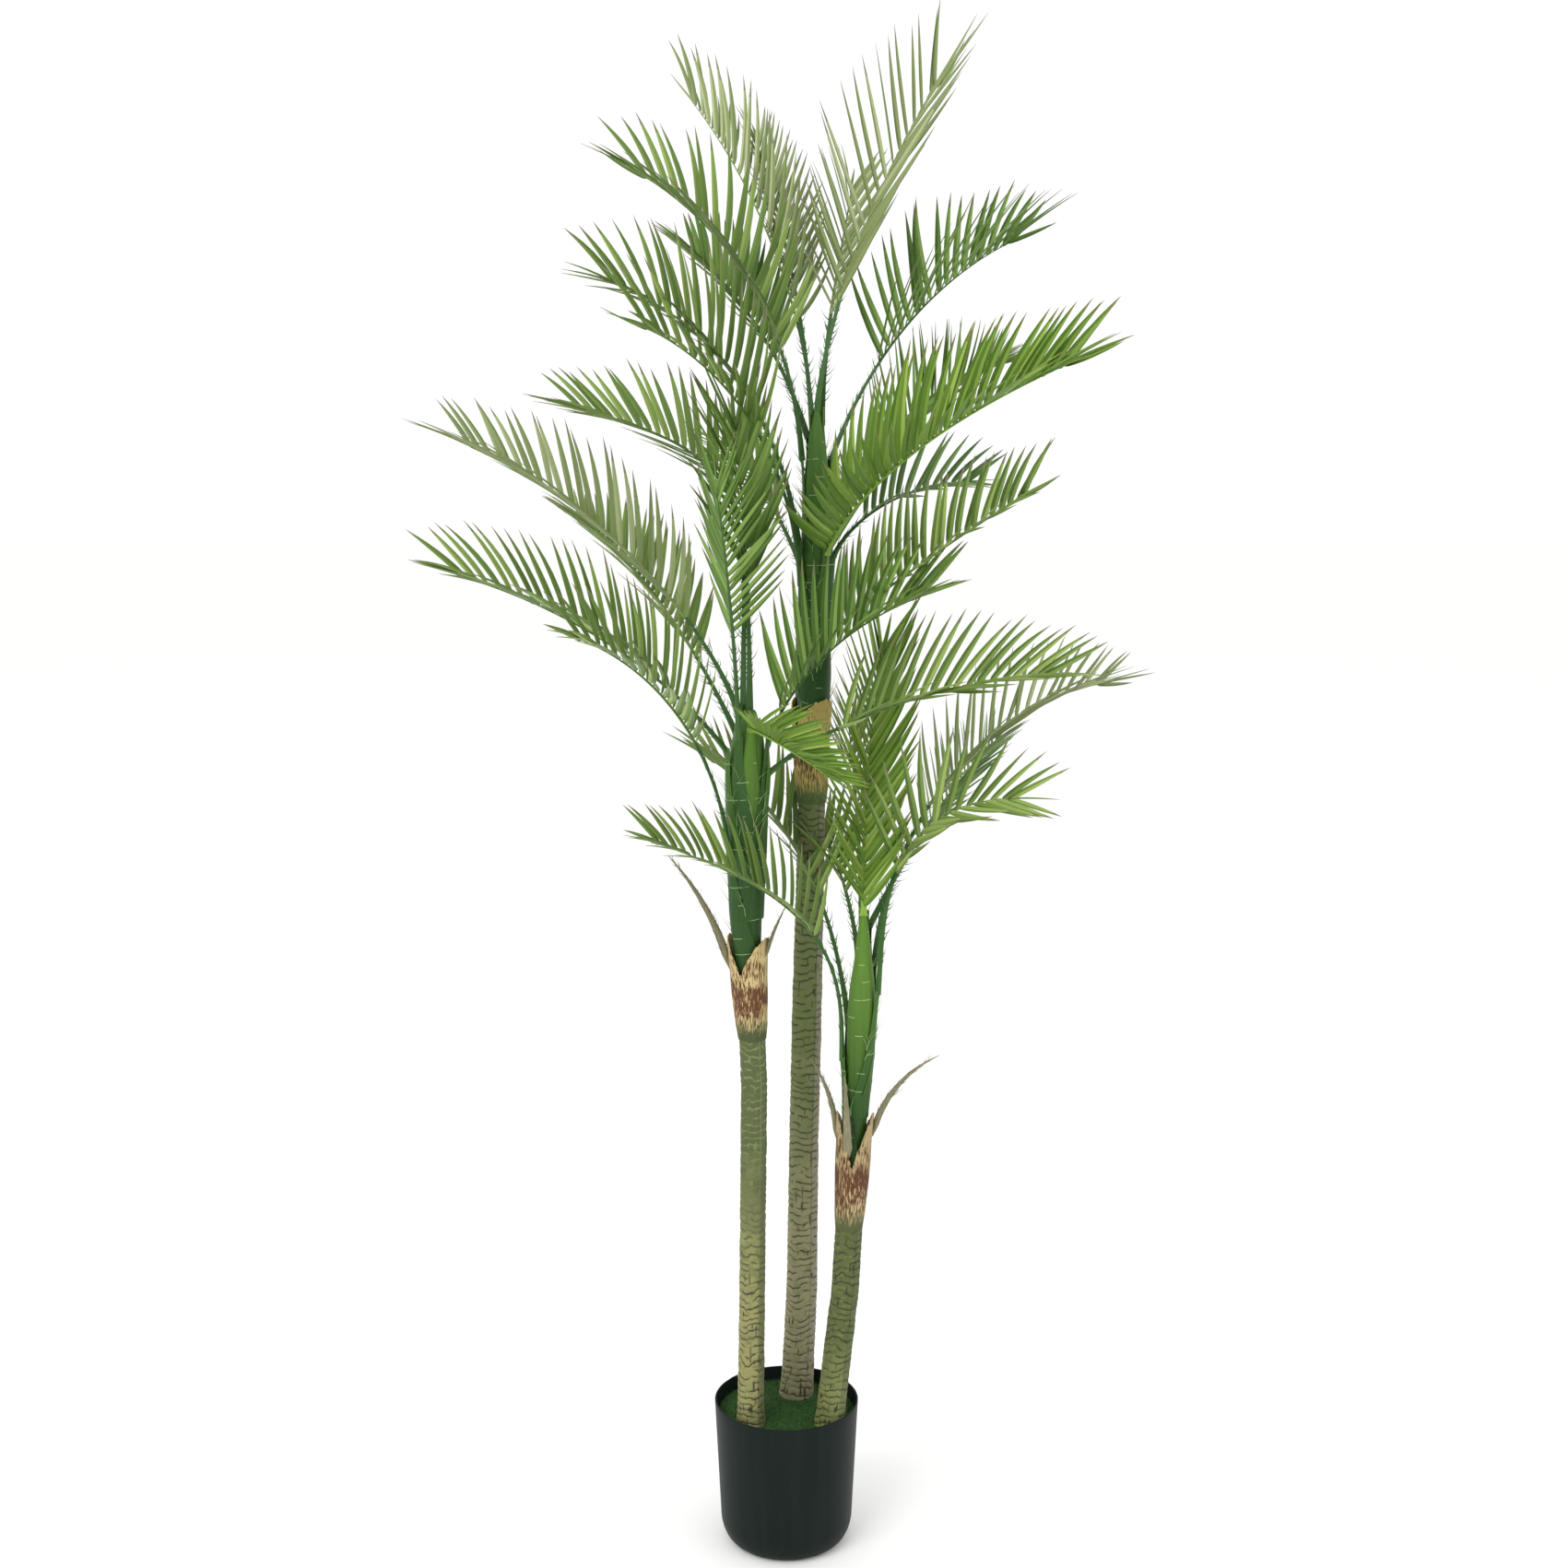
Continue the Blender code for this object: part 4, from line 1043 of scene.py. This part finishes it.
def leaflet_copy(spot, along, middle, side, sign, sweep, reach, wide, draw):
    """A leaflet's corners: from the rib at spot, leaning from it by the sweep, or None if every
    way of laying it runs into a stem."""
    row = middle * cos(ROW_ANGLE) + side * sign * sin(ROW_ANGLE)
    inner = middle * sin(ROW_ANGLE) - side * sign * cos(ROW_ANGLE)
    yaw = draw.gauss(0, 0.03)
    pitch = draw.gauss(0, 0.04)
    twist = draw.gauss(0.4, 0.12) * sign
    turn_along = draw.gauss(0, 0.12)
    bow = draw.gauss(0.02, 0.012)
    sag = draw.gauss(0.015, 0.018)
    size = draw.uniform(0.96, 1.06)
    wide *= draw.uniform(0.88, 1.06) * (reach / LEAFLET_LENGTH) ** 0.5
    for turned, kept in ((0, 1), (-0.3, 1), (0.3, 1), (-0.15, 0.7), (0, 0.45)):
        lean = sweep + yaw + turned
        forward = (along * cos(lean) + row * sin(lean) + inner * pitch).normalized()
        if not any(in_stem(spot + forward * reach * kept * t * MM) for t in (0.15, 0.4, 0.7, 1)):
            break
    else:
        return None
    length = reach * size * kept
    flat = (along - forward * along.dot(forward)).normalized()
    face = (inner - forward * inner.dot(forward) - flat * inner.dot(flat)).normalized()
    flat, face = flat * cos(twist) + face * sin(twist), face * cos(twist) - flat * sin(twist)
    corners = leaflet[0]
    share = corners[:, 1] / (LEAFLET_LENGTH * MM)
    angle = turn_along * share
    x, z = corners[:, 0] * wide, corners[:, 2] * wide
    across = x * np.cos(angle) - z * np.sin(angle)
    lift = x * np.sin(angle) + z * np.cos(angle)
    arch = length * MM * (sag * share**2 - 0.02 * share * (1 - share))
    bowed = -length * MM * bow * 4 * share * (1 - share)
    return (
        np.array(spot)
        + np.outer(share * length * MM, forward)
        + np.outer(across + bowed, flat)
        + np.outer(lift - arch, face)
    )


draw = random.Random(3)
for tint in TINTS:
    shades = []
    for word, colour in zip(("shaded", "plain", "lit", "tip"), LEAF_COLOURS[tint]):
        # Dyed polyethylene sheet, heat-pressed, with a soft, slightly uneven sheen. The shaded and lit
        # sheets are its plain colour with painted shade and a painted highlight; the tip's colour is its
        # own.
        made, add, shader, spot = start_material(
            f"dyed leaf sheet, {tint} {word}", colour, 0.5, specular=0.25
        )
        uneven_gloss(add, shader, spot, 11.1, 0.4, 0.66)
        shades.append(made)
    copies = []
    for frond in (f for f in FRONDS if f.tint == tint):
        path = frond_path(frond)
        bare = frond.stalk / frond.length
        last = 1 - RIB_END / frond.length
        mould = MOULDS[tint]
        lowest = radians(PLUME_SWEEP.get(frond.name, mould.sweep))
        count = round((last - bare) * frond.length / (frond.reach * mould.step))
        for k in range(count + 1):
            for sign in (1, -1):
                part = min((k + (0.5 if sign < 0 else 0) + draw.uniform(-0.12, 0.12)) / count, 1)
                part = max(part, 0)
                spot, along, middle, side = frond_frame(path, frond, bare + (last - bare) * part)
                gain = (1 - FOOT_REACH) * min(part / FULL_FROM, 1)
                loss = TIP_LOSS * max(part - FULL_FROM, 0) ** 1.5
                reach = frond.reach * (FOOT_REACH + gain - loss)
                sweep = lowest + (TIP_SWEEP - lowest) * part**SWEEP_POWER
                points = leaflet_copy(spot, along, middle, side, sign, sweep, reach, mould.wide, draw)
                if points is None:
                    continue
                # Two in three leaflets wear painted shade and the plain colour, the rest the plain colour
                # and a painted highlight.
                shift = draw.choice((0, 0, 1))
                wears = np.where(leaflet[2] == TIP, 3, leaflet[2] + shift)
                copies.append((points, wears))
        spot, along, middle, side = frond_frame(path, frond, last)
        reach = frond.reach * LAST_REACH
        points = leaflet_copy(spot, along, middle, side, 1, 0.04, reach, mould.wide, draw)
        copies.append((points, np.where(leaflet[2] == TIP, 3, leaflet[2])))
    leaves = join_copies(f"leaflets_{tint}", leaflet, copies, shades, sharp=28)
    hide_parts(*[f"frond_{frond.name}" for frond in FRONDS if frond.tint == tint])


# ---- Dry strips ------------------------------------------------------------------------------
# Thin split strips of the old frond bases, left standing on the husks. They are cut from the
# husk's own sheet, taper to a point, and carry a fringe of fine grey fibres.

Spike = namedtuple("Spike", "name stem azimuth rise tip height length half roll")
SPIKES = [
    Spike("dry_tip_left_long", "left", 178, 75, 48, 742, 140, 5.5, -60),
    Spike("dry_tip_left_short", "left", -25, 72, 60, 760, 52, 7.0, 40),
    Spike("dry_tip_right_thin", "right", 175, 88, 55, 535, 90, 4.5, -60),
    Spike("dry_tip_right_broad", "right", -110, 84, 78, 520, 92, 6.0, 0),
    Spike("dry_tip_right_long", "right", -5, 78, 25, 540, 118, 4.8, 60),
]
SPIKE_DEPTH = 0.8
SPIKE_LAP = 14  # by which a strip reaches down behind the husk's rim
SPIKE_CLEARANCE = 2.5
SPIKE_TUCK = 0.6
WHISKERS_PER_MM = 0.45

# Dried sheath fibre, printed: matt straw with darker threads that run along the strip.
straw, add, shader, spot = start_material("dried sheath strip", "#6f6850", 0.85)
threads = drawn_out(add, spot, (1.43, 1.43, 16.7), 3.0)
add("Mix", {0: threads, 6: "#49472f", 7: "#9b9576"}, give=2, data_type="RGBA", into=shader["Base Color"])
add("Bump", {"Height": threads, "Strength": 0.5, "Distance": 0.5 * MM}, into=shader["Normal"])
fuzz, *_ = start_material("grey sheath fuzz", "#6d6a5c", 0.9)


def strip_half(spike, share):
    """Half a strip's width, narrowing to its point, in mm."""
    return spike.half * (1 - 0.93 * share**1.3)


whisker = hair_template(0.0003, 0.011, 0.004)
whiskers = []
draw = random.Random(41)
body = bmesh.new()
for spike in SPIKES:
    stem = STEMS[spike.stem]
    _, shaft_radius = stem_at(spike.stem, "shaft", spike.height)
    x, radius = stem_at(spike.stem, "husk", spike.height)
    away = max(radius, shaft_radius + SPIKE_CLEARANCE) - SPIKE_TUCK
    turn = radians(spike.azimuth)
    foot = spike.height - SPIKE_LAP
    start = Vector((x + away * cos(turn), stem.depth + away * sin(turn), foot)) * MM
    like = Frond("", "", 0, spike.azimuth, spike.rise, spike.tip, 1, 0, 1, spike.roll, 0, "")
    path = rib_path(start, like, (spike.length + SPIKE_LAP) * MM)

    def place(turn, share):
        spot, along, upward, across = frond_frame(path, like, share)
        half = strip_half(spike, share) * min(0.3 + 6 * share, 1)
        curl = 0.25 * half * cos(turn) ** 2
        thick = SPIKE_DEPTH * sin(turn) * (1 - 0.7 * share)
        return spot + (across * half * cos(turn) + upward * (thick - curl)) * MM

    tube(body, 10, 24, place)
    for _ in range(round(spike.length * WHISKERS_PER_MM)):
        share = draw.uniform(0.15, 0.95)
        spot, along, upward, across = frond_frame(path, like, share)
        sign = draw.choice((1, -1))
        start = spot + across * sign * strip_half(spike, share) * 0.8 * MM
        up = across * sign * draw.uniform(0.2, 0.8) + along * draw.uniform(0.5, 1.5)
        up += upward * draw.gauss(0, 0.5)
        grow(whiskers, whisker, start, up, along, long=draw.uniform(0.4, 1.3))
strips = finish(body, "dry_strips", [straw], sharp=50)
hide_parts(*[spike.name for spike in SPIKES])
fringe = join_copies("dry_fringe", whisker, whiskers, [fuzz])
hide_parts(*[spike.name for spike in SPIKES])
